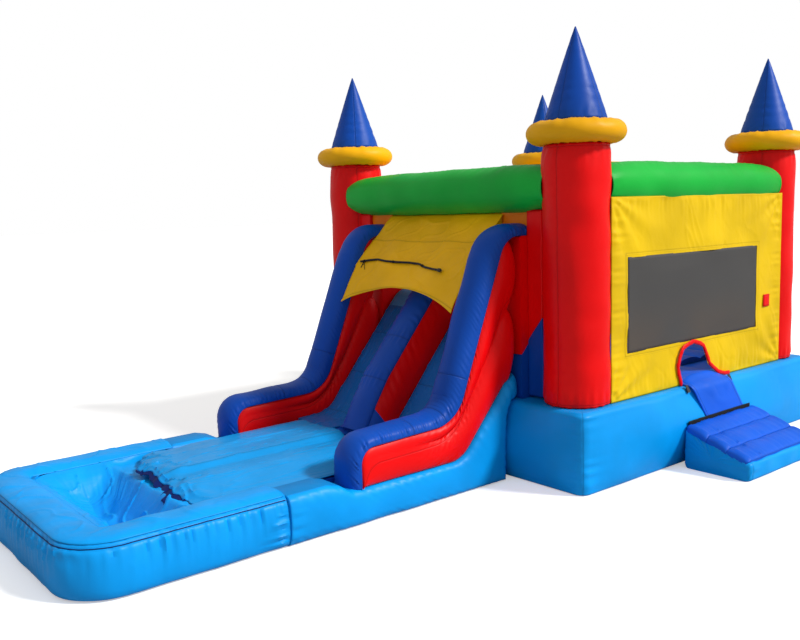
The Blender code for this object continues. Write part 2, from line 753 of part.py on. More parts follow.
def build_buckle(label, x):
    """A buckle body sewn to the base below the doorway, and the tongue that slides out of it."""
    place = base_face_place(x, BASE_LEVELS - 1)
    half = BUCKLE_WIDTH / 2
    body_top = (BASE_HEIGHT / BASE_LEVELS) / 2
    low = body_top - 0.047
    wall = 0.003
    back = 0.0006
    deep = back + BUCKLE_THICKNESS
    bm = bmesh.new()
    box(bm, (-half, low, back), (half, body_top, deep))
    bmesh.ops.transform(bm, matrix=place, verts=bm.verts)
    body = add_object("buckle_body_" + label, bm, "black_plastic")
    bm = bmesh.new()
    box(bm, (-half + wall, low + 0.006, back + wall), (half - wall, body_top + 0.02, deep - wall))
    bmesh.ops.transform(bm, matrix=place, verts=bm.verts)
    cut(body, add_cutter("buckle_socket_" + label, bm))

    # Tongue: a plate inside the socket with a wider strap bar above it
    clear = 0.0004
    root = body_top + clear
    inner = half - wall - clear
    plate = [(-inner, low + 0.008), (inner, low + 0.008), (inner, root), (half, root), (half, root + 0.026),
             (-half, root + 0.026), (-half, root), (-inner, root)]
    bm = bmesh.new()
    loft(bm, [[(px, py, out) for px, py in plate] for out in (back + wall + clear, deep - wall - clear)])
    tongue = add_object("buckle_tongue_" + label, bm, "black_plastic")
    tongue.matrix_world = place


# Entrance ramp
def build_ramp():
    """The wedge-shaped step: a swollen body, a channelled pad on top and a tie strip."""
    back = -HALF_BASE - BASE_BULGE - GAP
    front = back - RAMP_LENGTH
    middle = DOOR_CENTRE - 0.02
    half = RAMP_WIDTH / 2
    ease = 0.03
    outline = np.array([(back - ease, 0.0), (back, ease), (back, RAMP_BACK_HEIGHT - RAMP_PAD_THICKNESS),
                        (front + ease, RAMP_FRONT_HEIGHT - RAMP_PAD_THICKNESS),
                        (front, RAMP_FRONT_HEIGHT - RAMP_PAD_THICKNESS - ease), (front, ease),
                        (front + ease, 0.0)])
    slices = [(-half, 0.03), (-half + 0.02, 0.008), (-half + 0.06, 0.0), (half - 0.06, 0.0),
              (half - 0.02, 0.008), (half, 0.03)]
    rings = []
    centre = np.array([(front + back) / 2, RAMP_FRONT_HEIGHT / 2])
    for x, inset in slices:
        pull = 1.0 - inset / 0.3
        rings.append([(middle + x, centre[0] + (y - centre[0]) * pull,
                       max(0.0, z * pull if z > 0.0 else inset)) for y, z in outline])
    bm = bmesh.new()
    loft(bm, rings)
    add_object("ramp_body", bm, "sky_vinyl")

    # The pad lies along the slope between the strip and the front edge
    start = np.array([back - 0.012, RAMP_BACK_HEIGHT - RAMP_PAD_THICKNESS])
    end = np.array([front + ease, RAMP_FRONT_HEIGHT - RAMP_PAD_THICKNESS])
    slope = (end - start) / np.linalg.norm(end - start)
    lift = np.array([slope[1], -slope[0]])
    length = np.linalg.norm(end - start)
    full = RAMP_BACK_HEIGHT - RAMP_FRONT_HEIGHT
    drop = 0.012 * full / (back - front - ease)
    start = start - np.array([0.0, drop])
    rings = []
    for x, inset in slices:
        thick = RAMP_PAD_THICKNESS * (1.0 - inset / 0.04)
        top = []
        for channel in range(RAMP_CHANNELS):
            for k in range(6):
                share = k / 6
                crown = math.sin(math.pi * share) ** 0.5
                along = length * (channel + share) / RAMP_CHANNELS
                top.append(start + slope * along + lift * (GAP + thick * (0.45 + 0.55 * crown)))
        top.append(end + lift * (GAP + thick * 0.45))
        pull = 1.0 - inset / 0.3
        section = [start + lift * GAP] + top + [end + lift * GAP]
        rings.append([(middle + x, centre[0] + (y - centre[0]) * pull, z * pull) for y, z in section])
    bm = bmesh.new()
    loft(bm, rings)
    add_object("ramp_pad", bm, "royal_vinyl")

    # The tie strip stands at the pad's top edge, above the body's back edge
    bm = bmesh.new()
    inner = half - 0.06
    level = RAMP_BACK_HEIGHT - RAMP_PAD_THICKNESS + GAP
    box(bm, (middle - inner, back - 0.0105, level),
        (middle + inner, back - 0.001, level + RAMP_PAD_THICKNESS * 1.1))
    add_object("ramp_tie_strip", bm, "black_webbing")


# Slide
def rail_front_path():
    """The seam line between a rail's blue band and its red body, from rear to nose."""
    corners = [(RAIL_REAR, RAIL_TOP), (FRONT - RAIL_CREST_REACH, RAIL_TOP),
               (FRONT - RAIL_TOE_REACH, RAIL_FOOT_TOP + 0.02), (FRONT - RAIL_NOSE_REACH, RAIL_FOOT_TOP),
               (FRONT - RAIL_NOSE_REACH, RAIL_SHELF + GAP)]
    return resample(rounded_path(corners, (0.20, 0.36, 0.14)), RAIL_STATIONS)


def rail_seat_path():
    """The line where a rail's red body sits on the sky-blue flank, from rear to nose."""
    corners = [(RAIL_REAR, RAIL_SEAT_REAR), (FRONT - RAIL_SEAT_TOE_REACH, RAIL_SHELF),
               (FRONT - RAIL_NOSE_REACH + 0.004, RAIL_SHELF)]
    return resample(rounded_path(corners, (0.30,)), RAIL_STATIONS)


def lane_path():
    """The slide bed's top line from the platform to the pool end of the lanes."""
    corners = [(BED_HEAD - GAP, PLATFORM_HEIGHT), (FRONT + LANE_CREST_SETBACK, PLATFORM_HEIGHT),
               (FRONT - LANE_TOE_REACH, LANE_END_HEIGHT + 0.015), (FRONT - LANE_END_REACH, LANE_END_HEIGHT)]
    return split_long(rounded_path(corners, (0.22, 0.34)), 0.22)


def lobes(share, crease):
    """Two side-by-side swellings, zero at both ends and at the crease between them."""
    if share < crease:
        local = share / crease
    else:
        local = (share - crease) / (1.0 - crease)
    return math.sin(math.pi * local) ** 0.7 if 0.0 < local < 1.0 else 0.0


def build_rail(label, side):
    """One S-shaped rail: a red body of two swollen tubes, and a blue band round its front."""
    front = rail_front_path()
    seat = rail_seat_path()
    steps = 10
    edge_in = RAIL_INSIDE + RAIL_LOBE
    edge_out = RAIL_OUTSIDE - RAIL_LOBE
    rings = []
    for station in [0.0, 0.5] + list(range(1, RAIL_STATIONS - 1)):
        outer = []
        inner = []
        for j in range(steps + 1):
            share = j / steps
            lobe = lobes(share, RAIL_CREASE)
            at = station
            swell = RAIL_LOBE * lobe
            if station == 0.0:
                at = RAIL_END_NOTCH * (1.0 - lobe)
                swell *= 0.5
            k = int(at)
            top = front[k] + (front[k + 1] - front[k]) * (at - k)
            foot = seat[k] + (seat[k + 1] - seat[k]) * (at - k)
            x, z = top + (foot - top) * share
            outer.append((x, side * (edge_out + swell), z))
            inner.append((x, side * (edge_in - swell), z))
        rings.append(outer + inner[::-1])
    bm = bmesh.new()
    loft(bm, rings, paired_start=True)
    add_object("rail_body_" + label, bm, "red_vinyl")

    # The band shares the body's stations, so its back face stays one clearance away
    lead = np.array([(PLATFORM_BACK, RAIL_TOP), (PLATFORM_BACK - 0.45, RAIL_TOP)])
    line = np.vstack([lead, front])
    outward = -left_normals(line)
    if outward[0][1] < 0:
        outward = -outward
    half = RAIL_WIDTH / 2 - 0.01
    turns = 10
    rings = []
    for point, normal in zip(line, outward):
        ring = []
        for j in range(turns + 1):
            angle = math.pi * (j / turns - 0.5)
            depth = GAP + BAND_DEPTH * max(0.0, math.cos(angle)) ** 0.7
            x, z = point + normal * depth
            ring.append((x, side * (RAIL_MIDDLE + half * math.sin(angle)), z))
        rings.append(ring)
    bm = bmesh.new()
    loft(bm, rings)
    add_object("rail_band_" + label, bm, "royal_vinyl")


def build_flank(label, side):
    """The sky-blue side chamber under a rail, from the castle to the pool wall's seam."""
    seat = rail_seat_path()
    normals = left_normals(seat)
    down = normals if normals[0][1] < 0 else -normals
    top = seat + down * GAP
    top[0][0] = RAIL_REAR
    end = POOL_SEAM + GAP
    crown = POOL_WALL_HEIGHT - 0.02
    ahead = [(FRONT - RAIL_NOSE_REACH - BAND_DEPTH - 0.02, RAIL_SHELF - GAP),
             (FRONT - RAIL_NOSE_REACH - 0.21, crown - 0.03),
             (FRONT - RAIL_NOSE_REACH - 0.33, crown), (end, crown), (end, 0.0), (BED_BACK, 0.0),
             (BED_BACK, BASE_HEIGHT * 0.5), (BED_BACK, BASE_HEIGHT * 0.8),
             (FRONT - 0.03, BASE_HEIGHT + 0.002),
             (RAIL_REAR, BASE_HEIGHT + 0.01)]
    outline = np.vstack([top, ahead])
    low = RAIL_INSIDE + 0.002
    high = RAIL_OUTSIDE
    slices = [(side * low, 0.035), (side * (low + 0.02), 0.010), (side * (low + 0.06), 0.0),
              (side * (high - 0.07), 0.0), (side * (high - 0.025), 0.010), (side * high, 0.035)]
    bm = bmesh.new()
    pillow_slab(bm, outline, slices)
    add_object("slide_flank_" + label, bm, "sky_vinyl")


def slope_seat():
    """Where the platform block carries the slide bed: the slanted seat's foot and head."""
    foot = (PLATFORM_FRONT, PLATFORM_HEIGHT - BED_EDGE - SLOPE_SEAT_RISE)
    head = (BED_HEAD, PLATFORM_HEIGHT - BED_EDGE)
    return foot, head


def build_bed():
    """The slanting chamber under both lanes, which runs on as the low bed before the pool."""
    foot, head = slope_seat()
    lift = 2 * GAP
    outline = np.vstack([lane_path(), [(FRONT - LANE_END_REACH, EXIT_BED_HEIGHT),
                                       (POOL_SEAM + GAP, EXIT_BED_HEIGHT),
                                       (POOL_SEAM + GAP, 0.0), (BED_BACK, 0.0), (BED_BACK, BASE_HEIGHT * 0.8),
                                       (FRONT - 0.02, BASE_HEIGHT + 0.002),
                                       (foot[0] - GAP, BASE_HEIGHT + 0.002),
                                       (foot[0] - GAP, foot[1] + lift), (head[0] - GAP, head[1] + lift)]])
    bm = bmesh.new()
    pillow_slab(bm, outline, [(-BED_HALF_WIDTH, 0.0), (BED_HALF_WIDTH, 0.0)])
    add_object("slide_bed", bm, "royal_vinyl")


def build_lane(label, side):
    """One slick lane sheet laid on the bed between the divider and a rail."""
    line = lane_path()
    normals = left_normals(line)
    up = normals if normals[0][1] > 0 else -normals
    low = line + up * GAP
    high = line + up * (GAP + LANE_THICKNESS)
    outline = np.vstack([low, high[::-1]])
    inner = DIVIDER_WIDTH / 2 + 0.004
    outer = BED_HALF_WIDTH
    bm = bmesh.new()
    loft(bm, [[(x, side * y, z) for x, z in outline] for y in (inner, outer)])
    add_object("slide_lane_" + label, bm, "lane_liner")


def build_divider():
    """The hump between the lanes: swollen red sides under a round crest and nose."""
    line = lane_path()
    end = FRONT - DIVIDER_NOSE_REACH
    keep = line[(line[:, 0] > end) & (line[:, 0] < FRONT + LANE_CREST_SETBACK + 0.06)]
    nose = (end, np.interp(end, line[::-1, 0], line[::-1, 1]))
    root = np.vstack([keep, [nose]])
    up = left_normals(root)
    up = up if up[0][1] > 0 else -up
    seat = root + up * GAP
    raised = root + up * DIVIDER_HEIGHT
    corners = [raised[0], raised[1], (end + DIVIDER_NOSE_SLOPE, nose[1] + DIVIDER_HEIGHT),
               (end, nose[1] + GAP + 0.01)]
    crest = resample(rounded_path(corners, (0.05, 0.12)), len(root))
    out = -left_normals(crest)
    out = out if out[0][1] > 0 else -out
    steps = 6
    turns = 8
    crest_half = DIVIDER_CREST_WIDTH / 2
    spread = (DIVIDER_WIDTH - DIVIDER_CREST_WIDTH) / 2
    bulge = 0.02
    rings = []
    for top, normal, foot in zip(crest, out, seat):
        ring = []
        for j in range(turns + 1):
            angle = math.pi * (j / turns - 0.5)
            point = top + normal * DIVIDER_BAND_DEPTH * math.cos(angle)
            ring.append((point[0], crest_half * math.sin(angle), point[1]))
        sides = []
        for j in range(1, steps + 1):
            share = j / steps
            point = top + (foot - top) * share
            sides.append((point[0], crest_half + spread * share + bulge * math.sin(math.pi * share),
                          point[1]))
        ring += sides
        ring += [(x, -y, z) for x, y, z in reversed(sides)]
        rings.append(ring)
    bm = bmesh.new()
    loft(bm, rings)
    add_object("lane_divider", bm, "red_vinyl")


def build_platform():
    """The block at the slide's top: a passage between side walls, and the climbing wall behind."""
    half = RAIL_OUTSIDE - 0.006
    foot, head = slope_seat()
    block = [(PLATFORM_FRONT, DECK), (PLATFORM_BACK, DECK), (PLATFORM_BACK, RAIL_TOP),
             (PLATFORM_FRONT, RAIL_TOP)]
    bm = bmesh.new()
    loft(bm, [[(x, y, z) for x, z in block] for y in (-half, half)])
    piece = add_object("platform_block", bm, "royal_vinyl")

    beyond = 0.3
    passage = [foot, head, (head[0], PLATFORM_HEIGHT), (PLATFORM_BACK + beyond, PLATFORM_HEIGHT),
               (PLATFORM_BACK + beyond, RAIL_TOP + beyond), (foot[0] - beyond, RAIL_TOP + beyond),
               (foot[0] - beyond, foot[1])]
    inner = RAIL_INSIDE + 0.03
    bm = bmesh.new()
    loft(bm, [[(x, y, z) for x, z in passage] for y in (-inner, inner)])
    cut(piece, add_cutter("platform_passage", bm))

    climb = piece.modifiers.new("Climbing wall", "BOOLEAN")
    climb.operation = "UNION"
    climb.object = climbing_wall()


def climbing_wall():
    """The climbing wall inside: a wedge with round foot bars across its slope."""
    level = DECK + FLOOR_THICKNESS + GAP
    head = np.array([PLATFORM_BACK, PLATFORM_HEIGHT])
    foot = np.array([PLATFORM_BACK + CLIMB_RUN, level + 0.06])
    run = (foot - head) / np.linalg.norm(foot - head)
    normal = np.array([-run[1], run[0]])
    length = np.linalg.norm(foot - head)
    outline = [(PLATFORM_BACK - 0.05, level), (foot[0], level), tuple(foot)]
    for number in reversed(range(STEP_COUNT)):
        centre = head + run * length * (number + 0.7) / STEP_COUNT
        for k in range(9):
            angle = math.pi * k / 8
            outline.append(tuple(centre + run * STEP_RADIUS * math.cos(angle)
                                 + normal * STEP_RADIUS * math.sin(angle)))
    outline += [tuple(head), (PLATFORM_BACK - 0.05, PLATFORM_HEIGHT)]
    half = CLIMB_WIDTH / 2
    bm = bmesh.new()
    loft(bm, [[(x, y, z) for x, z in outline] for y in (-half, half)])
    return add_cutter("climbing_wall_shape", bm)


def build_closing_panel(label, side):
    """The padded panel that closes the slide side between the platform block and a column."""
    middle = -HALF_SPACING - 0.13
    half = 0.025
    start = RAIL_OUTSIDE - 0.006 + GAP
    top = beam_underside(-middle - half - BEAM_LINE) - GAP
    reach = HALF_SPACING - math.sqrt((COLUMN_RADIUS + 0.002) ** 2 - (middle + half + HALF_SPACING) ** 2)
    outline = np.array([(start, DECK), (reach, DECK), (reach, top), (start, top)])
    rings = []
    for x, inset in ((middle - half, 0.012), (middle - half * 0.5, 0.0), (middle + half * 0.5, 0.0),
                     (middle + half, 0.012)):
        rings.append([(x, side * (y + (inset if y == start else -inset)), z) for y, z in outline])
    bm = bmesh.new()
    loft(bm, rings)
    add_object("closing_panel_" + label, bm, "red_vinyl")


# Pool
def pool_section():
    """The pool wall's cross-section: flat foot, swollen outside, seam and crowned top."""
    half = POOL_WALL_WIDTH / 2
    high = POOL_WALL_HEIGHT
    return [(-half * 0.70, 0.0), (half * 0.75, 0.0), (half * 0.93, high * 0.09), (half * 1.02, high * 0.27),
            (half * 1.03, high * 0.50), (half * 0.97, high * 0.72), (half * 0.86, high * 0.86),
            (half * 0.50, high * 0.97),
            (0.0, high), (-half * 0.50, high * 0.97), (-half * 0.88, high * 0.84), (-half, high * 0.55),
            (-half * 0.95, high * 0.20)]


def build_pool_wall():
    """The U-shaped pool wall, swept from one flank round both corners to the other."""
    line = RAIL_OUTSIDE - POOL_WALL_WIDTH / 2
    end = POOL_END + POOL_WALL_WIDTH / 2
    start = POOL_SEAM - GAP
    radius = POOL_CORNER_RADIUS - POOL_WALL_WIDTH / 2
    path = rounded_path([(start, -line), (end, -line), (end, line), (start, line)], (radius, radius),
                        math.radians(15))
    path = split_long(path, 0.6)
    normals = left_normals(path)
    outward = normals if normals[0][1] < 0 else -normals
    rings = []
    for point, normal in zip(path, outward):
        rings.append([(*(point + normal * u), z) for u, z in pool_section()])
    bm = bmesh.new()
    loft(bm, rings)
    add_object("pool_wall", bm, "sky_vinyl")


def build_basin():
    """The pool's liner: a soft tray inside the wall whose sides slope to the floor."""
    half_y = RAIL_OUTSIDE - POOL_WALL_WIDTH - 0.006
    low_x = POOL_END + POOL_WALL_WIDTH + 0.006
    high_x = POOL_SEAM - GAP
    centre = (low_x + high_x) / 2
    half_x = (high_x - low_x) / 2
    corner = POOL_CORNER_RADIUS - POOL_WALL_WIDTH + 0.05
    rim = EXIT_BED_HEIGHT - 0.011
    levels = [(0.0, 0.0, corner), (0.0, rim, corner), (0.03, rim + 0.01, corner),
              (BASIN_SLOPE * 0.45, rim * 0.62, corner * 1.2), (BASIN_SLOPE * 0.8, rim * 0.28, corner * 1.5),
              (BASIN_SLOPE, BASIN_FLOOR + 0.01, corner * 1.6),
              (BASIN_SLOPE + 0.12, BASIN_FLOOR, corner * 1.6)]
    rings = []
    for inset, z, radius in levels:
        ring = rounded_rectangle(half_x - inset, half_y - inset, radius, 4)
        rings.append([(centre + x, y, z) for x, y in ring])
    bm = bmesh.new()
    loft(bm, rings)
    add_object("pool_basin_liner", bm, "pool_liner")


def exit_heights(share):
    """Height of the exit sheet above its bed across the slide, from the far side to the near."""
    knots_y = (0.0, 0.06, 0.27, 0.44, 0.50, 0.56, 0.78, 0.95, 1.0)
    knots_z = (0.15, 0.85, 1.0, 0.80, 0.30, 0.85, 0.70, 0.25, 0.10)
    return EXIT_LINER_RISE * float(np.interp(share, knots_y, knots_z))


def build_exit():
    """The ridged sheet that covers the low bed between the lanes and the pool."""
    start = FRONT - LANE_END_REACH - 0.003
    end = POOL_SEAM + GAP
    inside = RAIL_OUTSIDE - POOL_WALL_WIDTH - 0.02
    base = EXIT_BED_HEIGHT + GAP
    across = 22
    rings = []
    for along in np.linspace(0.0, 1.0, 10):
        x = start + (end - EXIT_LINER_OVERHANG - start) * along
        half = np.interp(x, (end + 0.005, end + 0.12), (inside, BED_HALF_WIDTH - 0.01))
        ripple = 0.010 * math.sin(9.0 * along)
        top = []
        for share in np.linspace(0.0, 1.0, across + 1):
            rise = exit_heights(share) * (1.0 - 0.15 * along) + ripple * math.sin(math.pi * share)
            top.append((x, half * (1 - 2 * share), base + LINER_THICKNESS + max(0.0, rise)))
        rings.append(top + [(x, -half, base), (x, 0.0, base), (x, half, base)])
    bm = bmesh.new()
    loft(bm, rings)
    add_object("exit_liner", bm, "pool_liner")


# Canopy and hose
def canopy_point(across, down):
    """A point of the canopy: across runs -1 to 1 between the rails, down 0 to 1 to the hem."""
    hang = BEAM_HEIGHT - BEAM_RADIUS - CANOPY_THICKNESS * 0.45
    profile = rounded_path([(-BEAM_LINE, hang), (-BEAM_LINE - 0.03, hang), (FRONT - 0.02, RAIL_TOP - 0.05),
                            (FRONT - 0.25, RAIL_TOP - 0.28), (FRONT - 0.46, RAIL_TOP - 0.68)],
                            (0.02, 0.12, 0.25))
    arch = CANOPY_ARCH * (1.0 - across ** 2) * down ** 4
    along = down * (1.0 - arch / 0.75)
    fine = resample(profile, 41)
    x, z = (np.interp(along, np.linspace(0, 1, 41), fine[:, k]) for k in range(2))
    drape = math.sin(math.pi * min(1.0, 1.1 * down))
    fold = CANOPY_FOLD * math.sin(7.0 * across + 3.0 * down) * drape
    sag = 0.035 * (1.0 - across ** 2) * drape
    half = BED_HALF_WIDTH + 0.002 + 0.011 * down
    return Vector((x + sag + fold, across * half, z - sag * 0.5 - fold * 0.4))


def build_canopy():
    """The yellow cloth hung from the front beam between the rails, with a raised hem."""
    columns = 16
    rows = 14
    bm = bmesh.new()
    grid = [[bm.verts.new(canopy_point(2 * i / columns - 1, j / rows)) for i in range(columns + 1)]
            for j in range(rows + 1)]
    for j in range(rows):
        for i in range(columns):
            bm.faces.new((grid[j][i], grid[j][i + 1], grid[j + 1][i + 1], grid[j + 1][i]))
    canopy = add_object("slide_canopy", bm, "yellow_vinyl")
    solid = canopy.modifiers.new("Thickness", "SOLIDIFY")
    solid.thickness = CANOPY_THICKNESS
    solid.offset = 0.0
    return canopy


def build_hose():
    """The spray hose tied across the canopy, from the far rail to its end cap."""
    stops = [(0.93, 0.605), (0.78, 0.585), (0.62, 0.575), (0.45, 0.595), (0.25, 0.60), (0.05, 0.595),
             (-0.15, 0.605),
             (-0.30, 0.64), (-0.45, 0.655), (-0.58, 0.665)]
    points = []
    count = 40
    places = np.array(stops)
    for k in range(count + 1):
        share = k / count * (len(stops) - 1)
        across = np.interp(share, range(len(stops)), places[:, 0])
        down = np.interp(share, range(len(stops)), places[:, 1])
        here = canopy_point(across, down)
        side = canopy_point(across + 0.01, down) - here
        below = canopy_point(across, down + 0.01) - here
        out = side.cross(below).normalized()
        if out.x > 0:
            out = -out
        rise = (HOSE_CAP_RADIUS - HOSE_RADIUS + 0.002) * max(0.0, 10.0 * k / count - 9.0)
        points.append(here + out * (CANOPY_THICKNESS / 2 + HOSE_RADIUS + 0.0021 + rise))
    tube_along("spray_hose", points, HOSE_RADIUS, "black_plastic", 2)

    # A cap closes the hose's near end
    tail = (points[-1] - points[-2]).normalized()
    turn = tail.to_track_quat("Z", "Y").to_matrix().to_4x4()
    wide = HOSE_CAP_RADIUS
    profile = [(0.0, 0.0), (wide * 0.9, 0.0), (wide, 0.006), (wide, 0.030), (wide * 0.6, 0.045), (0.0, 0.045)]
    bm = bmesh.new()
    revolve(bm, profile, 14, Matrix.Translation(points[-1] + tail * GAP) @ turn)
    add_object("hose_end_cap", bm, "black_plastic")


# Pieces behind the castle
def build_zipper():
    """The air-release zipper low on the base's back: a tape and a slider that runs along it."""
    place = Matrix.Rotation(math.pi / 2, 4, "Z") @ base_face_place(ZIPPER_SIDE, 1)
    half = ZIPPER_LENGTH / 2
    tape = 0.003
    clear = 0.0008
    bm = bmesh.new()
    box(bm, (-half, -ZIPPER_WIDTH / 2, clear), (half, ZIPPER_WIDTH / 2, clear + tape))
    bmesh.ops.transform(bm, matrix=place, verts=bm.verts)
    add_object("zipper_tape", bm, "black_webbing")

    bm = bmesh.new()
    box(bm, (-0.012, -0.008, 0.0), (0.012, 0.008, 0.006))
    slider = add_object("zipper_slider", bm, "steel")
    slider.matrix_world = place @ Matrix.Translation((-half + 0.02, 0.0, clear + tape + GAP))
    bevel = slider.modifiers.new("Soft edge", "BEVEL")
    bevel.width = 0.002
    bevel.segments = 2


def scroll_outline(shrink):
    """The blower's snail outline in X-Z about its axis, with its duct towards -X."""
    points = []
    steps = 20
    for k in range(steps + 1):
        angle = math.radians(168 - 258 * k / steps)
        radius = SCROLL_START + (SCROLL_END - SCROLL_START) * k / steps - shrink
        points.append((radius * math.cos(angle), radius * math.sin(angle)))
    mouth = -DUCT_LENGTH - (0.05 if shrink else 0.0)
    points.append((mouth, -SCROLL_END + shrink))
    points.append((mouth, -SCROLL_END + DUCT_HEIGHT - shrink))
    points.append((-SCROLL_START * 0.93 + shrink, -SCROLL_END + DUCT_HEIGHT - shrink))
    return points


def blower_place():
    """The blower's fan axis at ground level plus its height."""
    return Vector((HALF_BASE + BLOWER_STANDOFF, BLOWER_SIDE, BLOWER_AXIS_HEIGHT))


def turned_y(centre):
    """Place a turned profile with its axis along Y."""
    return Matrix.Translation(centre) @ Matrix.Rotation(-math.pi / 2, 4, "X")


def build_blower():
    """The air blower: snail housing with handle and grille, impeller, motor, stand and switch."""
    centre = blower_place()
    half = BLOWER_DEPTH / 2
    build_housing(centre, half)
    build_impeller(centre, half)

    # Motor outside the back plate, with the shaft's end in its bearing hole
    bore = SHAFT_RADIUS + GAP
    start = half + GAP
    end = start + MOTOR_LENGTH
    flange = MOTOR_RADIUS + 0.02
    profile = [(bore, start), (flange, start), (flange, start + 0.008), (MOTOR_RADIUS, start + 0.008),
               (MOTOR_RADIUS, end - 0.02), (MOTOR_RADIUS - 0.02, end), (0.0, end), (0.0, start + 0.03),
               (bore, start + 0.03), (bore, start)]
    bm = bmesh.new()
    revolve(bm, profile, 28, turned_y(centre))
    add_object("blower_motor", bm, "black_plastic")

    # The stand's cradle takes the scroll's underside
    reach = SCROLL_END * 0.75
    bm = bmesh.new()
    box(bm, (centre.x - reach, centre.y - half, 0.0), (centre.x + reach, centre.y + half, centre.z * 0.45))
    stand = add_object("blower_stand", bm, "black_plastic")
    deep = half + 0.01
    bm = bmesh.new()
    loft(bm, [[(centre.x + x, centre.y + y, centre.z + z) for x, z in scroll_outline(-GAP)]
              for y in (-deep, deep)])
    cut(stand, add_cutter("stand_cradle", bm))

    # The rocker turns inside its hole, within the circle round its axis
    pivot = rocker_pivot(centre, half)
    radius = ROCKER_RADIUS
    outline = [(radius * 0.97, radius * 0.24), (0.0, radius * 0.05), (-radius * 0.97, radius * 0.24)]
    for k in range(1, 10):
        angle = math.pi * (1 + k / 10)
        outline.append((radius * math.cos(angle), radius * math.sin(angle)))
    bm = bmesh.new()
    loft(bm, [[(x, y, z) for z, y in outline] for x in (-ROCKER_LENGTH / 2, ROCKER_LENGTH / 2)])
    rocker = add_object("blower_rocker", bm, "black_plastic")
    rocker.location = pivot
    rocker.rotation_euler.x = math.radians(-ROCKER_THROW / 2)


def rocker_pivot(centre, half):
    """The switch's axis: in the housing's motor side, below the motor."""
    return centre + Vector((0.06, half - BLOWER_WALL / 2, -0.165))


def build_housing(centre, half):
    """The snail housing: hollow, open at its mouth, slotted at the intake, with a handle on top."""
    bm = bmesh.new()
    loft(bm, [[(centre.x + x, centre.y + y, centre.z + z) for x, z in scroll_outline(0.0)]
              for y in (-half, half)])
    housing = add_object("blower_housing", bm, "blower_plastic", 30)
    inner = half - BLOWER_WALL
    bm = bmesh.new()
    loft(bm, [[(centre.x + x, centre.y + y, centre.z + z) for x, z in scroll_outline(BLOWER_WALL)]
              for y in (-inner, inner)])
    cut(housing, add_cutter("blower_air_path", bm))

    # Slots leave the intake's guard bars in the front wall
    bars = 9
    pitch = 2 * (INTAKE_RADIUS - 0.008) / bars
    bm = bmesh.new()
    for k in range(bars):
        height = (k - (bars - 1) / 2) * pitch
        reach = math.sqrt((INTAKE_RADIUS - 0.004) ** 2 - (abs(height) + pitch * 0.33) ** 2)
        box(bm, (centre.x - reach, centre.y - half - 0.03, centre.z + height - pitch * 0.33),
            (centre.x + reach, centre.y - half + 0.02, centre.z + height + pitch * 0.33))
    cut(housing, add_cutter("intake_slots", bm))
    bore = SHAFT_RADIUS + GAP
    bm = bmesh.new()
    revolve(bm, [(0.0, 0.0), (bore, 0.0), (bore, 0.06), (0.0, 0.06)], 24,
            turned_y(centre + Vector((0.0, half - 0.03, 0.0))))
    cut(housing, add_cutter("shaft_hole", bm))
    pivot = rocker_pivot(centre, half)
    side = ROCKER_LENGTH / 2 + GAP
    high = ROCKER_RADIUS + GAP
    bm = bmesh.new()
    box(bm, (pivot.x - side, pivot.y - 0.03, pivot.z - high),
        (pivot.x + side, pivot.y + 0.03, pivot.z + high))
    cut(housing, add_cutter("rocker_hole", bm))

    # Handle: an arch whose feet sink into the scroll's top
    arch = []
    for radius, order in ((0.075, 1), (0.055, -1)):
        bow = [(radius * math.cos(math.pi * k / 10),
                0.03 + radius * 0.8 * math.sin(math.pi * k / 10)) for k in range(11)]
        bow = [(radius, -0.012)] + bow + [(-radius, -0.012)]
        arch += bow[::order]
    top = centre.z + SCROLL_START + 0.027
    bm = bmesh.new()
    loft(bm, [[(centre.x + x, centre.y + y, top + z) for x, z in arch] for y in (-0.013, 0.013)])
    handle = housing.modifiers.new("Handle", "BOOLEAN")
    handle.operation = "UNION"
    handle.object = add_cutter("handle_shape", bm)


def build_impeller(centre, half):
    """The fan: a cup whose wall is slotted into blades, on a shaft through the back plate."""
    front = -half + 0.045
    back = half - BLOWER_WALL - 0.02
    rim = IMPELLER_RADIUS
    shaft = SHAFT_RADIUS
    profile = [(0.0, back - 0.03), (0.028, back - 0.03), (0.028, back - 0.006), (rim - 0.02, back - 0.006),
               (rim - 0.02, front), (rim, front), (rim, back), (shaft, back), (shaft, half + 0.02),
               (0.0, half + 0.02)]
    bm = bmesh.new()
    revolve(bm, profile, 36, turned_y((0.0, 0.0, 0.0)))
    impeller = add_object("blower_impeller", bm, "black_plastic")
    impeller.location = centre
    width = math.tau * rim / IMPELLER_BLADES * 0.62
    length = back - front - 0.03
    bm = bmesh.new()
    for k in range(IMPELLER_BLADES):
        swing = Matrix.Rotation(math.tau * (k + 0.5) / IMPELLER_BLADES, 4, "Y")
        slot = bmesh.ops.create_cube(bm, size=1.0)["verts"]
        shape = Matrix.Translation((rim - 0.01, (back + front) / 2 - 0.004, 0.0))
        shape = shape @ Matrix.Diagonal((0.05, length, width, 1.0))
        bmesh.ops.transform(bm, matrix=Matrix.Translation(centre) @ swing @ shape, verts=slot)
    cut(impeller, add_cutter("blade_slots", bm))


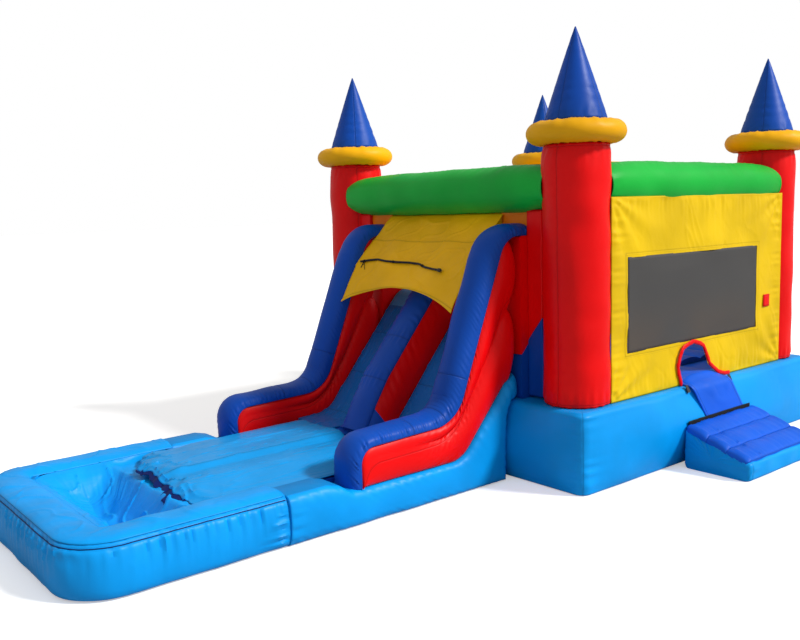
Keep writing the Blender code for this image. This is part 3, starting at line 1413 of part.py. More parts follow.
def build_sleeve():
    """The inflation sleeve: a cloth tube from the base's back to round the blower's mouth."""
    centre = blower_place()
    mouth = centre.x - DUCT_LENGTH
    level = centre.z - SCROLL_END + DUCT_HEIGHT / 2
    wide = BLOWER_DEPTH / 2 + GAP
    high = DUCT_HEIGHT / 2 + GAP
    wall = SLEEVE_THICKNESS
    rings = []
    for grow, at_blower in ((0.0, True), (wall, True), (wall, False), (0.0, False)):
        corners = np.array(rounded_rectangle(wide + grow, high + grow, 0.0004 + grow, 3))
        steps = (np.roll(corners, -1, axis=0) - corners) / 4
        ring = []
        for y, z in (corner + step * k for corner, step in zip(corners, steps) for k in range(4)):
            face = HALF_BASE + base_side(centre.y + y, level + z) + 0.0009
            ring.append((mouth + 0.06 if at_blower else face, centre.y + y, level + z))
        rings.append(ring)
    bm = bmesh.new()
    hoop(bm, rings)
    add_object("inflation_sleeve", bm, "sky_vinyl")


def main():
    """Build every piece of the inflatable."""
    clear_scene()
    build_base()
    build_floor()
    cutters = {}
    for label, sides in TOWERS.items():
        build_tower(label, sides)
        cutters[label] = column_cutter(label, sides)
    for side in SIDES:
        build_beam(side, cutters)
    build_wall("entrance", True)
    build_wall("back", False)
    build_wall("garden", False)
    build_roof()
    build_door_binding()
    build_entrance_panel()
    build_wall_patch()
    build_buckle("left", DOOR_CENTRE + PANEL_SHIFT - PANEL_WIDTH / 2 - BUCKLE_BESIDE_PANEL)
    build_buckle("right", DOOR_CENTRE + PANEL_SHIFT + PANEL_WIDTH / 2 + BUCKLE_BESIDE_PANEL)
    build_ramp()
    for label, side in (("near", -1), ("far", 1)):
        build_rail(label, side)
        build_flank(label, side)
        build_lane(label, side)
        build_closing_panel(label, side)
    build_bed()
    build_divider()
    build_platform()
    build_pool_wall()
    build_basin()
    build_exit()
    build_canopy()
    build_hose()
    build_zipper()
    build_sleeve()
    build_blower()


main()
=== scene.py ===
import math

import bmesh
import bpy
import numpy as np
from mathutils import Matrix, Vector


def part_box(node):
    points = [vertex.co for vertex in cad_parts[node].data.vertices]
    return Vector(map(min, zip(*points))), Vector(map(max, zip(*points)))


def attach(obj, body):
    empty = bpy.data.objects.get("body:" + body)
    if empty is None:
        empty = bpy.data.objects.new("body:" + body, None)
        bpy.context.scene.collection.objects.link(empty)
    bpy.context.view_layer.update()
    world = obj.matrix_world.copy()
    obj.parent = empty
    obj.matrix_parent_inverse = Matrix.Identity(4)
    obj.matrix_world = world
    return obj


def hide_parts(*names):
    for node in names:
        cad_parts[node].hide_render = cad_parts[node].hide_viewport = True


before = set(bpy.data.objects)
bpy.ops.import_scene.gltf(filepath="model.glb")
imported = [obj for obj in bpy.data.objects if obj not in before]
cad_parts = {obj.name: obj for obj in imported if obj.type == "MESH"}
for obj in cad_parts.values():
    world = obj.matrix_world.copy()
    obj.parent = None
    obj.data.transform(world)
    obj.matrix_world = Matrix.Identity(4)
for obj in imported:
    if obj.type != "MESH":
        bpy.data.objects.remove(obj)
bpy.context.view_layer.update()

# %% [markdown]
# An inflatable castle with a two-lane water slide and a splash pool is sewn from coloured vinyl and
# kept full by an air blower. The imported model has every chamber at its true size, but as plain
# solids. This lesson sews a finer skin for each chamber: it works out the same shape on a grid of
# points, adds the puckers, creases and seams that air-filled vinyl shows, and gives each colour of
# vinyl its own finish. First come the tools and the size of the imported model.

# %% [markdown]
# The photo was taken from beyond the pool's near corner, a little above eye height. The camera's
# place, heading, pitch and roll were solved from the castle's square base, its upright towers and
# the straight edges of the slide, so nothing has to be fitted by eye.

# %% Camera
HEADING = 0.8908
PITCH = -0.1268
ROLL = 0.0307
EYE = (-7.6774, -6.596, 2.507)
FOCAL_IN_PIXELS = 864.80
IMAGE_WIDTH = 800.0
SENSOR_WIDTH = 36.0


def put_in_scene(name, data):
    """A new object of some data, linked into the scene."""
    item = bpy.data.objects.new(name, data)
    bpy.context.collection.objects.link(item)
    return item


level = math.cos(PITCH)
ahead = Vector((math.cos(HEADING) * level, math.sin(HEADING) * level, math.sin(PITCH)))
level_right = Vector((math.sin(HEADING), -math.cos(HEADING), 0.0))
level_down = ahead.cross(level_right)
right = math.cos(ROLL) * level_right + math.sin(ROLL) * level_down
down = -math.sin(ROLL) * level_right + math.cos(ROLL) * level_down
camera_data = bpy.data.cameras.new("photo_camera")
camera_data.sensor_width = SENSOR_WIDTH
camera_data.lens = SENSOR_WIDTH * FOCAL_IN_PIXELS / IMAGE_WIDTH
camera_data.clip_end = 400.0
camera = put_in_scene("photo_camera", camera_data)
turned = Matrix((right, -down, -ahead)).transposed().to_4x4()
camera.matrix_world = Matrix.Translation(EYE) @ turned
bpy.context.scene.camera = camera
print("lens", round(camera_data.lens, 2), "mm")

# %% [markdown]
# The photo has a blank white surround and soft daylight from behind the doorway's right, so the
# faces towards the doorway are bright, and the castle and the near rail shade the lanes. A wide
# soft sun and a bright sky give that. The roof is cloth and glows in daylight. Its skin here lets
# no light through, so a wide lamp below it lights the inside of the castle instead. The plain view
# transform keeps the strong colours of the vinyl as they are.

# %% Light
WHITE = (1.0, 1.0, 1.0, 1.0)
SKY_LIGHT = 0.50
bpy.context.scene.view_settings.view_transform = "Standard"


def lit_and_seen(tree, lit, seen):
    """One value for rays that carry light and another for rays straight from the camera."""
    blend = tree.nodes.new("ShaderNodeMapRange")
    blend.inputs["To Min"].default_value = lit
    blend.inputs["To Max"].default_value = seen
    from_camera = tree.nodes.new("ShaderNodeLightPath").outputs["Is Camera Ray"]
    tree.links.new(from_camera, blend.inputs["Value"])
    return blend.outputs["Result"]


world = bpy.data.worlds.new("pale_sky")
world.use_nodes = True
tree = world.node_tree
background = tree.nodes["Background"]
background.inputs["Color"].default_value = WHITE
tree.links.new(lit_and_seen(tree, SKY_LIGHT, 1.0), background.inputs["Strength"])
bpy.context.scene.world = world

sun_data = bpy.data.lights.new("soft_sun", "SUN")
sun_data.energy = 3.1
sun_data.angle = math.radians(9.0)
sun_data.color = (1.0, 0.98, 0.95)
sun = put_in_scene("soft_sun", sun_data)
sun.rotation_euler = Vector((-0.42, 0.66, -0.62)).to_track_quat("-Z", "Y").to_euler()

lamp_data = bpy.data.lights.new("daylight_through_roof", "AREA")
lamp_data.energy = 30.0
lamp_data.size = 2.4
lamp = put_in_scene("daylight_through_roof", lamp_data)
lamp.location = (0.0, 0.0, 2.40)
print("sun", sun_data.energy, "and lamp below the roof", lamp_data.energy)

# %% [markdown]
# The floor is a plain pale plane just below the castle. To the camera the sky and the floor look
# white, but they send out less light than that, or the shaded faces would wash out.

# %% Floor
FLOOR_REACH = 150.0
FLOOR_LEVEL = -0.001
floor_corners = [(x * FLOOR_REACH, y * FLOOR_REACH, FLOOR_LEVEL)
                 for x, y in ((-1, -1), (1, -1), (1, 1), (-1, 1))]
floor_mesh = bpy.data.meshes.new("pale_floor")
floor_mesh.from_pydata(floor_corners, [], [(0, 1, 2, 3)])
floor = put_in_scene("pale_floor", floor_mesh)
floor_finish = bpy.data.materials.new("pale_floor")
floor_finish.use_nodes = True
tree = floor_finish.node_tree
shader = tree.nodes["Principled BSDF"]
shader.inputs["Roughness"].default_value = 0.9
shader.inputs["Emission Color"].default_value = WHITE
tree.links.new(lit_and_seen(tree, 0.42, 0.90), shader.inputs["Base Color"])
tree.links.new(lit_and_seen(tree, 0.0, 0.42), shader.inputs["Emission Strength"])
floor_mesh.materials.append(floor_finish)
print("pale floor", 2 * FLOOR_REACH, "m wide")

# %% [markdown]
# The skins need the chambers' real sizes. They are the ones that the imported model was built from:
# the castle is 3.96 m square, its towers stand 3.25 m apart, and the slide comes out of its front,
# towards -X, between two S-shaped rails.

# %% Sizes in metres
GAP = 0.0003
HALF_SPACING = 1.625
HALF_BASE = 1.98
FRONT = -HALF_BASE
BASE_HEIGHT = 0.73
BASE_BULGE = 0.09
DECK = BASE_HEIGHT + GAP
COLUMN_RADIUS = 0.30
BEAM_RADIUS = 0.22
BEAM_LINE = HALF_SPACING + 0.075
BEAM_HEIGHT = BASE_HEIGHT + 1.935
COLUMN_TOP = BEAM_HEIGHT + BEAM_RADIUS + 0.145
RAIL_INSIDE = 0.85
RAIL_WIDTH = 0.335
RAIL_OUTSIDE = RAIL_INSIDE + RAIL_WIDTH
RAIL_MIDDLE = RAIL_INSIDE + RAIL_WIDTH / 2
RAIL_TOP = 2.24
BED_HALF_WIDTH = RAIL_INSIDE - 0.005
POOL_SEAM = FRONT - 2.44
POOL_END = FRONT - 4.10
POOL_WALL_WIDTH = 0.37
POOL_WALL_HEIGHT = 0.42
PLATFORM_HEIGHT = 1.62
PLATFORM_FRONT = FRONT + 0.1103
PLATFORM_BACK = FRONT + 0.87
PLATFORM_EDGE = 0.54
EXIT_BED_HEIGHT = 0.33
print("slide from", FRONT, "to", POOL_END)

# %% [markdown]
# Vinyl panels bend smoothly, so their outlines are straight runs joined by round corners. These
# helpers join coordinates into points, turn a few corners and radii into a line, space its points
# evenly and find the direction square to it.

# %% Lines in a plane
def joined(*parts):
    """Coordinates, spread to one shape and joined into points."""
    return np.stack(np.broadcast_arrays(*parts), axis=-1)


def length_of(line):
    """Length of a line of points: the sum of its steps."""
    return float(np.linalg.norm(np.diff(line, axis=0), axis=-1).sum())


def rounded_path(corners, radii):
    """Straight runs joined by tangent arcs: each inner corner gives way to a circle of its radius."""
    points = [np.array([corners[0]], float)]
    for before, corner, after, radius in zip(corners, corners[1:], corners[2:], radii):
        here = np.array(corner, float)
        back = np.array(before) - here
        back /= np.linalg.norm(back)
        onward = np.array(after) - here
        onward /= np.linalg.norm(onward)
        opening = math.acos(float(np.clip(back @ onward, -1.0, 1.0)))
        middle = (back + onward) / np.linalg.norm(back + onward)
        centre = here + middle * radius / math.sin(opening / 2)
        start = here + back * radius / math.tan(opening / 2) - centre
        side = 1.0 if back[0] * onward[1] - back[1] * onward[0] < 0 else -1.0
        angles = side * (math.pi - opening) * np.linspace(0.0, 1.0, 13)
        x = start[0] * np.cos(angles) - start[1] * np.sin(angles)
        y = start[0] * np.sin(angles) + start[1] * np.cos(angles)
        points.append(centre + joined(x, y))
    points.append(np.array([corners[-1]], float))
    return np.concatenate(points)


def resample(points, count):
    """Points at equal steps of arc length, ends kept."""
    steps = np.linalg.norm(np.diff(points, axis=0), axis=1)
    along = np.concatenate([[0.0], np.cumsum(steps)])
    wanted = np.linspace(0.0, along[-1], count)
    return np.stack([np.interp(wanted, along, points[:, k]) for k in range(points.shape[1])], axis=1)


def square_to(points, toward):
    """Unit directions square to a line, on the side that the given direction points to."""
    slope = np.gradient(points, axis=0)
    slope /= np.linalg.norm(slope, axis=1)[:, None]
    normal = joined(-slope[:, 1], slope[:, 0])
    return normal if normal[0] @ np.array(toward) > 0 else -normal


# %% [markdown]
# Air pushes vinyl out evenly, and thread holds it back. So the relief of every skin has two parts:
# slow waves in space, the same on both sides of a seam, and gathers beside the seams, which start
# at nothing on the thread, peak a few centimetres away and die out. Two small helpers fade a relief
# in from an edge and raise a hump at one height.

# %% Relief of air-filled vinyl
def fade(distance, over):
    """Distance / over, kept between 0 and 1: nothing at an edge and all of it further in."""
    return np.clip(distance / over, 0.0, 1.0)


def hump(values, middle, width):
    """exp(-((value - middle) / width) ^ 2)."""
    return np.exp(-((values - middle) / width) ** 2)
def waves(points, seed, size, count=14):
    """Sum of sines of distance along random directions, each wave between 0.6 and 1.7 sizes long."""
    chance = np.random.default_rng(seed)
    total = np.zeros(points.shape[:-1])
    for _ in range(count):
        heading = chance.normal(size=3)
        heading *= math.tau / (np.linalg.norm(heading) * size * chance.uniform(0.6, 1.7))
        total += np.sin(points @ heading + chance.uniform(0.0, math.tau))
    return total / math.sqrt(count / 2)


def creases(points, seed, size, sharp=0.35):
    """Narrow ridges where slow waves cross zero: one minus their size over the sharpness, squared."""
    return np.maximum(0.0, 1.0 - np.abs(waves(points, seed, size)) / sharp) ** 2


def gathers(seam, seed, spacing, reach):
    """Uneven ripples along a seam times (distance / reach) x exp(1 - distance / reach)."""
    chance = np.random.default_rng(seed)
    total = np.zeros(seam.shape[:-1])
    for _ in range(7):
        length = spacing * chance.uniform(0.6, 2.2)
        total += np.sin(seam[..., 1] * math.tau / length + chance.uniform(0.0, math.tau))
    share = np.abs(seam[..., 0]) / reach
    return total / 2.6 * share * np.exp(1.0 - share)


def seam_map(points, lengthwise=(), crosswise=()):
    """Distance to the nearest seam and the run along it, from arc lengths on the grid's lines."""
    rows, columns = points.shape[:2]
    run = np.zeros((rows, columns))
    run[1:] = np.cumsum(np.linalg.norm(np.diff(points, axis=0), axis=-1), axis=0)
    width = np.zeros((rows, columns))
    width[:, 1:] = np.cumsum(np.linalg.norm(np.diff(points, axis=1), axis=-1), axis=1)
    nearest = np.full((rows, columns), 1.0)
    along = np.zeros((rows, columns))
    for column in lengthwise:
        away = np.abs(width - width[:, [column]])
        along = np.where(away < nearest, run, along)
        nearest = np.minimum(nearest, away)
    for row in crosswise:
        away = np.abs(run - run[[row], :])
        along = np.where(away < nearest, width, along)
        nearest = np.minimum(nearest, away)
    return np.stack([nearest, along], axis=-1)


# %% [markdown]
# Each skin is a grid of points: one direction runs along the chamber and the other round it. Relief
# moves a point straight out of the surface. The cross product of the grid's two directions gives
# that way, and comparing it with the direction from the chamber's middle tells outside from inside.

# %% Moving a grid along its own normals
def normals_of(points, closed=False):
    """Cross product of the steps across and along the grid, at unit length."""
    if closed:
        ring = points[:, :-1]
        across = np.roll(ring, -1, axis=1) - np.roll(ring, 1, axis=1)
        across = np.concatenate([across, across[:, :1]], axis=1)
    else:
        across = np.gradient(points, axis=1)
    normal = np.cross(across, np.gradient(points, axis=0))
    return normal / np.maximum(np.linalg.norm(normal, axis=-1, keepdims=True), 1e-12)


def push(points, relief, closed=False, outward=None):
    """Points plus relief times their normal, which is turned away from each row's middle."""
    normal = normals_of(points, closed)
    away = points - points.mean(axis=1, keepdims=True) if outward is None else np.array(outward, float)
    if np.sum(normal * away) < 0.0:
        normal = -normal
    return points + normal * np.asarray(relief)[..., None]


def grid_of(first, second, formula):
    """Evaluate a formula of two parameters on every pair of their values."""
    return joined(*formula(*np.meshgrid(first, second, indexing="ij"))).astype(float)


def loop(points):
    """Repeat the first column after the last, so that a ring closes."""
    return np.concatenate([points, points[:, :1]], axis=1)


# %% [markdown]
# A grid becomes a mesh of four-sided faces. Its seam distances go into a UV map, where the finish
# finds them. Points that meet at a ring's join or at a pole are merged, holes at the ends are
# filled, and the faces are turned outwards. Then the piece rides on its body and takes the packed
# solid's place.

# %% Sewing grids into a piece
def sew(name, patches, node=None, thickness=0.0):
    """One mesh from patches of (points, seam distances, finish); only one without a thickness is filled."""
    finishes = []
    places, seams, faces, kinds = [], [], [], []
    start = 0
    for points, seam, finish in patches:
        if finish not in finishes:
            finishes.append(finish)
        rows, columns = points.shape[:2]
        ids = start + np.arange(rows * columns).reshape(rows, columns)
        quads = np.stack([ids[:-1, :-1], ids[:-1, 1:], ids[1:, 1:], ids[1:, :-1]], axis=-1).reshape(-1, 4)
        places.append(points.reshape(-1, 3))
        seams.append(np.full((rows * columns, 2), 1.0) if seam is None else seam.reshape(-1, 2))
        faces.append(quads)
        kinds.append(np.full(len(quads), finishes.index(finish)))
        start += rows * columns
    quads = np.concatenate(faces)
    mesh = bpy.data.meshes.new(name)
    mesh.from_pydata(np.concatenate(places).tolist(), [], quads.tolist())
    layer = mesh.uv_layers.new(name="Seam")
    layer.uv.foreach_set("vector", np.concatenate(seams)[quads.ravel()].astype(np.float32).ravel())
    mesh.polygons.foreach_set("material_index", np.concatenate(kinds).astype(np.int32))
    shell = bmesh.new()
    shell.from_mesh(mesh)
    bmesh.ops.remove_doubles(shell, verts=shell.verts, dist=0.00015)
    if not thickness:
        filled = bmesh.ops.holes_fill(shell, edges=shell.edges, sides=0)["faces"]
        layer = shell.loops.layers.uv["Seam"]
        for corner in (corner for face in filled for corner in face.loops):
            corner[layer].uv = (1.0, 0.0)
        bmesh.ops.triangulate(shell, faces=filled)
    bmesh.ops.recalc_face_normals(shell, faces=shell.faces)
    shell.to_mesh(mesh)
    shell.free()
    mesh.shade_smooth()
    mesh.set_sharp_from_angle(angle=math.radians(50.0))
    for finish in finishes:
        mesh.materials.append(finish)
    piece = put_in_scene(name, mesh)
    if thickness:
        solid = piece.modifiers.new("Cloth thickness", "SOLIDIFY")
        solid.thickness = thickness
        solid.offset = 0.0
    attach(piece, "inflatable")
    if node:
        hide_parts(node)
    print(name, len(mesh.polygons), "faces")
    return piece


# %% [markdown]
# Bounce-house vinyl is a knitted scrim between two layers of PVC. It has a soft gloss, fine
# crumples, a faint weave and double rows of stitches beside each seam. All colours share these
# effects, so they are one node group: it puts out a colour, a roughness and a height, and every
# material sets its own values.

# %% Node helpers
def feed(tree, node, inputs):
    """Fill a node's sockets with values, or link other nodes' outputs to them."""
    for key, value in inputs.items():
        if isinstance(value, bpy.types.NodeSocket):
            tree.links.new(value, node.inputs[key])
        else:
            node.inputs[key].default_value = value


def add(tree, kind, inputs=None, **settings):
    """Add a node, set its options and feed its sockets."""
    node = tree.nodes.new("ShaderNode" + kind)
    for key, value in settings.items():
        setattr(node, key, value)
    feed(tree, node, inputs or {})
    return node


def maths(tree, operation, first, *others):
    """One arithmetic operation on a socket or number, or carried on over several of them."""
    if not others:
        return add(tree, "Math", {0: first}, operation=operation).outputs[0]
    for other in others:
        first = add(tree, "Math", {0: first, 1: other}, operation=operation).outputs[0]
    return first


def times(tree, *values):
    """The product of sockets or numbers."""
    return maths(tree, "MULTIPLY", *values)


def plus(tree, *values):
    """The sum of sockets or numbers."""
    return maths(tree, "ADD", *values)


def minus(tree, *values):
    """The first socket or number less the others."""
    return maths(tree, "SUBTRACT", *values)


def ramp(tree, value, low, high, start=0.0, end=1.0):
    """A smooth step of a value from one number to another."""
    inputs = {"Value": value, "From Min": low, "From Max": high, "To Min": start, "To Max": end}
    return add(tree, "MapRange", inputs, interpolation_type="SMOOTHSTEP").outputs["Result"]


def mixed(tree, factor, first, second, way="MIX"):
    """Two colours mixed by a factor."""
    return add(tree, "Mix", {0: factor, 6: first, 7: second}, data_type="RGBA", blend_type=way).outputs[2]


def group_of(name, inputs, outputs):
    """An empty node group with the named input values and outputs."""
    tree = bpy.data.node_groups.new(name, "ShaderNodeTree")
    for label, value in inputs.items():
        kind = "NodeSocketColor" if isinstance(value, tuple) else "NodeSocketFloat"
        tree.interface.new_socket(label, in_out="INPUT", socket_type=kind).default_value = value
    for label, kind in outputs.items():
        tree.interface.new_socket(label, in_out="OUTPUT", socket_type=kind)
    return tree, tree.nodes.new("NodeGroupInput").outputs, tree.nodes.new("NodeGroupOutput")


# %% [markdown]
# The group's colour drifts slowly over the castle, darkens in stitches, and darkens in grooves as
# painted shade. Its height adds up crumples, grooves, stitches and weave. The UV map holds each
# point's distance from its seam and its run along it, so the grooves and the dashes of the stitches
# follow the seams.

# %% Vinyl effects
WEAVE_PER_METRE = 3100.0
STITCH_ROW = 0.013
STITCH_LENGTH = 0.009


def vinyl_effects():
    """Colour drift, crumples, scrim weave, seam grooves with painted shade, and stitches, from place and seam
    distance.
    """
    inputs = {"Colour": (0.5, 0.5, 0.5, 1.0), "Roughness": 0.4, "Drift": 0.10, "Crumple": 0.002,
              "Crumples per metre": 6.0, "Groove": 0.0015, "Stitches": 1.0}
    outputs = {"Colour": "NodeSocketColor", "Roughness": "NodeSocketFloat", "Height": "NodeSocketFloat"}
    tree, source, result = group_of("Vinyl", inputs, outputs)
    place = add(tree, "TexCoord").outputs["Object"]
    slow = add(tree, "TexNoise", {"Vector": place, "Scale": 1.3, "Detail": 3.0}).outputs["Fac"]
    uneven = {"Vector": place, "Scale": source["Crumples per metre"], "Detail": 5.0, "Roughness": 0.55,
              "Distortion": 0.6}
    crumple = add(tree, "TexNoise", uneven).outputs["Fac"]
    axes = add(tree, "SeparateXYZ", {"Vector": place}).outputs
    warp = maths(tree, "SINE", times(tree, axes["X"], WEAVE_PER_METRE))
    weft = maths(tree, "SINE", times(tree, plus(tree, axes["Y"], axes["Z"]), WEAVE_PER_METRE))
    mapped = add(tree, "UVMap", uv_map="Seam").outputs["UV"]
    seam = add(tree, "SeparateXYZ", {"Vector": mapped}).outputs
    away = maths(tree, "ABSOLUTE", seam["X"])
    groove = ramp(tree, away, 0.001, 0.009, 1.0, 0.0)
    row = ramp(tree, maths(tree, "ABSOLUTE", minus(tree, away, STITCH_ROW)), 0.0008, 0.0022, 1.0, 0.0)
    in_stitch = maths(tree, "FRACT", maths(tree, "DIVIDE", seam["Y"], STITCH_LENGTH))
    stitch = times(tree, row, maths(tree, "LESS_THAN", in_stitch, 0.62), source["Stitches"])

    tone_with_painted_groove_shade = plus(tree, 1.0, times(tree, ramp(tree, slow, 0.30, 0.70, -1.0, 1.0), source["Drift"]))
    # Painted shade: the colour darkens by up to 30 % in the seam grooves.
    tone_with_painted_groove_shade = times(tree, tone_with_painted_groove_shade, minus(tree, 1.0, times(tree, groove, 0.30)))
    tone_with_painted_groove_shade = times(tree, tone_with_painted_groove_shade, minus(tree, 1.0, times(tree, stitch, 0.22)))
    dulled = plus(tree, source["Roughness"], times(tree, minus(tree, crumple, 0.5), 0.22))
    height = minus(tree, times(tree, crumple, source["Crumple"]), times(tree, groove, source["Groove"]))
    weave = times(tree, plus(tree, warp, weft), 0.000008)
    feed(tree, result, {"Colour": mixed(tree, 1.0, source["Colour"], tone_with_painted_groove_shade, "MULTIPLY"),
                        "Roughness": plus(tree, dulled, times(tree, groove, 0.08)),
                        "Height": plus(tree, height, times(tree, stitch, 0.0005), weave)})
    return tree


VINYL = vinyl_effects()

# %% [markdown]
# A finish is a material whose main shader is fed by the effects. Its colour, its roughness and the
# strength of its crumples, drift and grooves are its own.

# %% Vinyl finish
def new_material(name):
    """A material, its node tree and its main shader."""
    material = bpy.data.materials.new(name)
    material.use_nodes = True
    return material, material.node_tree, material.node_tree.nodes["Principled BSDF"]


def vinyl(name, colour, roughness=0.42, crumple=0.0020, per_metre=6.0, drift=0.10, groove=0.0015):
    """A vinyl finish of one colour: the shared effects feed its colour, roughness and bumps."""
    material, tree, shader = new_material(name)
    effects = add(tree, "Group", node_tree=VINYL)
    feed(tree, effects, {"Colour": (*colour, 1.0), "Roughness": roughness, "Crumple": crumple,
                         "Crumples per metre": per_metre, "Drift": drift, "Groove": groove, "Stitches": 1.0})
    bump = add(tree, "Bump", {"Height": effects.outputs["Height"], "Distance": 1.0, "Strength": 1.0})
    feed(tree, shader, {"Base Color": effects.outputs["Colour"], "Roughness": effects.outputs["Roughness"],
                        "Normal": bump.outputs["Normal"], "Specular IOR Level": 0.18})
    return material


# %% [markdown]
# The castle's colours: sky blue for the base, the pool and the slide's sides, royal blue for the
# cones, bands and the divider's top, red for the columns and rails, green for the beams, and a
# warm yellow for the walls and canopy. Where water runs, the vinyl is a slicker, glossier sheet.

# %% Finishes of the vinyl pieces
SKY = vinyl("sky_vinyl_skin", (0.000, 0.330, 0.880), 0.42)
ROYAL = vinyl("royal_vinyl_skin", (0.002, 0.068, 0.430), 0.44)
PANEL_BLUE = vinyl("panel_blue_vinyl", (0.004, 0.110, 0.700), 0.42)
RED = vinyl("red_vinyl_skin", (0.880, 0.001, 0.002), 0.42, drift=0.06)
GREEN = vinyl("green_vinyl_skin", (0.006, 0.440, 0.045), 0.42)
YELLOW = vinyl("yellow_vinyl_skin", (0.800, 0.530, 0.002), 0.52, crumple=0.007, per_metre=4.5)
# Painted light: the canopy takes a brighter copy of the wall yellow, to make up for the shade it lies in.
CANOPY_PAINTED_BRIGHTER = vinyl("canopy_yellow_painted_brighter", (1.000, 0.520, 0.002), 0.50, crumple=0.006, per_metre=8.0)
# Painted backlight: orange stands for yellow vinyl glowing with daylight from behind.
PAINTED_BACKLIGHT_ORANGE = vinyl("orange_painted_backlight", (0.950, 0.220, 0.002), 0.46)
GOLD = vinyl("gold_vinyl_skin", (0.900, 0.440, 0.002), 0.48)
LINER = vinyl("pool_liner_skin", (0.000, 0.340, 0.880), 0.42, crumple=0.005, per_metre=8.0)
EXIT = vinyl("exit_liner_skin", (0.004, 0.300, 0.740), 0.36, crumple=0.004, per_metre=6.0)
# Painted light: a paler copy of the lane blue for the sunlit crest of the lanes.
CREST_PAINTED_SUNLIT = vinyl("lane_crest_painted_sunlit", (0.060, 0.330, 0.720), 0.40, crumple=0.006, per_metre=9.0)
LANE = vinyl("lane_liner_skin", (0.004, 0.150, 0.520), 0.36, crumple=0.006, per_metre=10.0)
# Navy for the pool's piping, and also as painted shadow under the exit sheet's lip.
NAVY_PIPING_AND_SHADOW = vinyl("navy_piping_and_painted_shadow", (0.002, 0.016, 0.130), 0.55)
WEBBING = vinyl("black_webbing_skin", (0.012, 0.012, 0.014), 0.75, crumple=0.0006, per_metre=60.0, groove=0.0)
print(len(bpy.data.materials), "finishes so far")

# %% [markdown]
# The base is the jumping castle's big air cushion: 3.96 m square and 0.73 m high, flat below,
# with four sides that belly out between their seams. Each side is a grid of run along by height.
# It stands out by the swell formula, and the corner seams draw it into short level puckers.

# %% Base
def base_side(along, height):
    """Swell x (1 - share along ^ 4) x (1 - share up ^ 2): none at the seams, most in the middle."""
    across = 1.0 - np.minimum(1.0, np.abs(along) / HALF_BASE) ** 4
    return BASE_BULGE * across * (1.0 - (2.0 * height / BASE_HEIGHT - 1.0) ** 2)


def turn_about(points, quarter):
    """Turn points round the Z axis by a number of quarter turns."""
    angle = quarter * math.pi / 2
    x = points[..., 0] * math.cos(angle) - points[..., 1] * math.sin(angle)
    y = points[..., 0] * math.sin(angle) + points[..., 1] * math.cos(angle)
    return joined(x, y, points[..., 2])


def round_corners(points):
    """Upright corners: past the arc's centre, both distances shrink by larger / diagonal."""
    radius = 0.045 + 0.06 * (2.0 * points[..., 2:] / BASE_HEIGHT - 1.0) ** 4
    centre = HALF_BASE - radius
    distance = np.abs(points[..., :2])
    over = np.maximum(0.0, distance - centre)
    diagonal = np.maximum(1e-9, np.linalg.norm(over, axis=-1, keepdims=True))
    shrink = over.max(axis=-1, keepdims=True) / diagonal
    kept = np.minimum(distance, centre) + over * np.where(over > 0, shrink, 1.0)
    return np.concatenate([np.sign(points[..., :2]) * kept, points[..., 2:]], axis=-1)


EDGE = 0.05
MIDDLE_ROWS = 27
turn = np.linspace(0.0, math.pi / 2, 7)
heights = np.concatenate([EDGE * (1 - np.cos(turn)) * 0.5, np.linspace(0.06, BASE_HEIGHT - 0.06, MIDDLE_ROWS),
                          BASE_HEIGHT - EDGE * (1 - np.cos(turn[::-1]))])
insets = np.concatenate([0.5 * EDGE * (1 - np.sin(turn)), np.zeros(MIDDLE_ROWS),
                         EDGE * (1 - np.sin(turn[::-1]))])
ticks = np.linspace(-1.0, 1.0, 97)
patches = []
for quarter in range(4):
    share, row = np.meshgrid(ticks, np.arange(len(heights)), indexing="ij")
    out = HALF_BASE - insets[row]
    side = joined(share * out, -out - base_side(share * HALF_BASE, heights[row]), heights[row])
    seam = seam_map(side, crosswise=(0, -1))
    edge = fade(seam[..., 0], 0.05) * fade(np.minimum(heights[row], BASE_HEIGHT - heights[row]), 0.06)
    relief = 0.007 * gathers(seam, 10 + quarter, 0.055, 0.05) + 0.006 * waves(side, 20 + quarter, 0.60)
    pushed = push(side, relief * edge, outward=(0, -1, 0))
    patches.append((turn_about(round_corners(pushed), quarter), seam, SKY))
rim = 8
for height, inset, finish in ((0.0, insets[0], SKY), (BASE_HEIGHT, insets[-1], PANEL_BLUE)):
    reach = (HALF_BASE - inset) * ticks
    flat = round_corners(joined(reach[:, None], reach, height))
    middle = flat[rim - 1:1 - rim]
    patches.append((middle[:, rim - 1:1 - rim], None, finish))
    patches += [(part, None, SKY) for part in (flat[:rim], flat[-rim:], middle[:, :rim], middle[:, -rim:])]
sew("base_skin", patches, "castle_base")

# %% [markdown]
# Columns and cones are turned shapes: a profile of radius against height carried round an axis.
# Real ones are sewn from panels, so a seam runs up each column, and its foot and head are gathered
# in.

# %% Columns
TOWERS = {"near": (-1, -1, 186.0), "left": (-1, 1, 236.0), "right": (1, -1, 200.0), "far": (1, 1, 150.0)}


def turned(radii, heights, centre, steps, start):
    """Radius and height carried round a vertical axis: x = r cos a, y = r sin a."""
    angles = start + np.linspace(0.0, math.tau, steps + 1)
    x = centre[0] + radii[:, None] * np.cos(angles)
    y = centre[1] + radii[:, None] * np.sin(angles)
    return joined(x, y, heights[:, None])


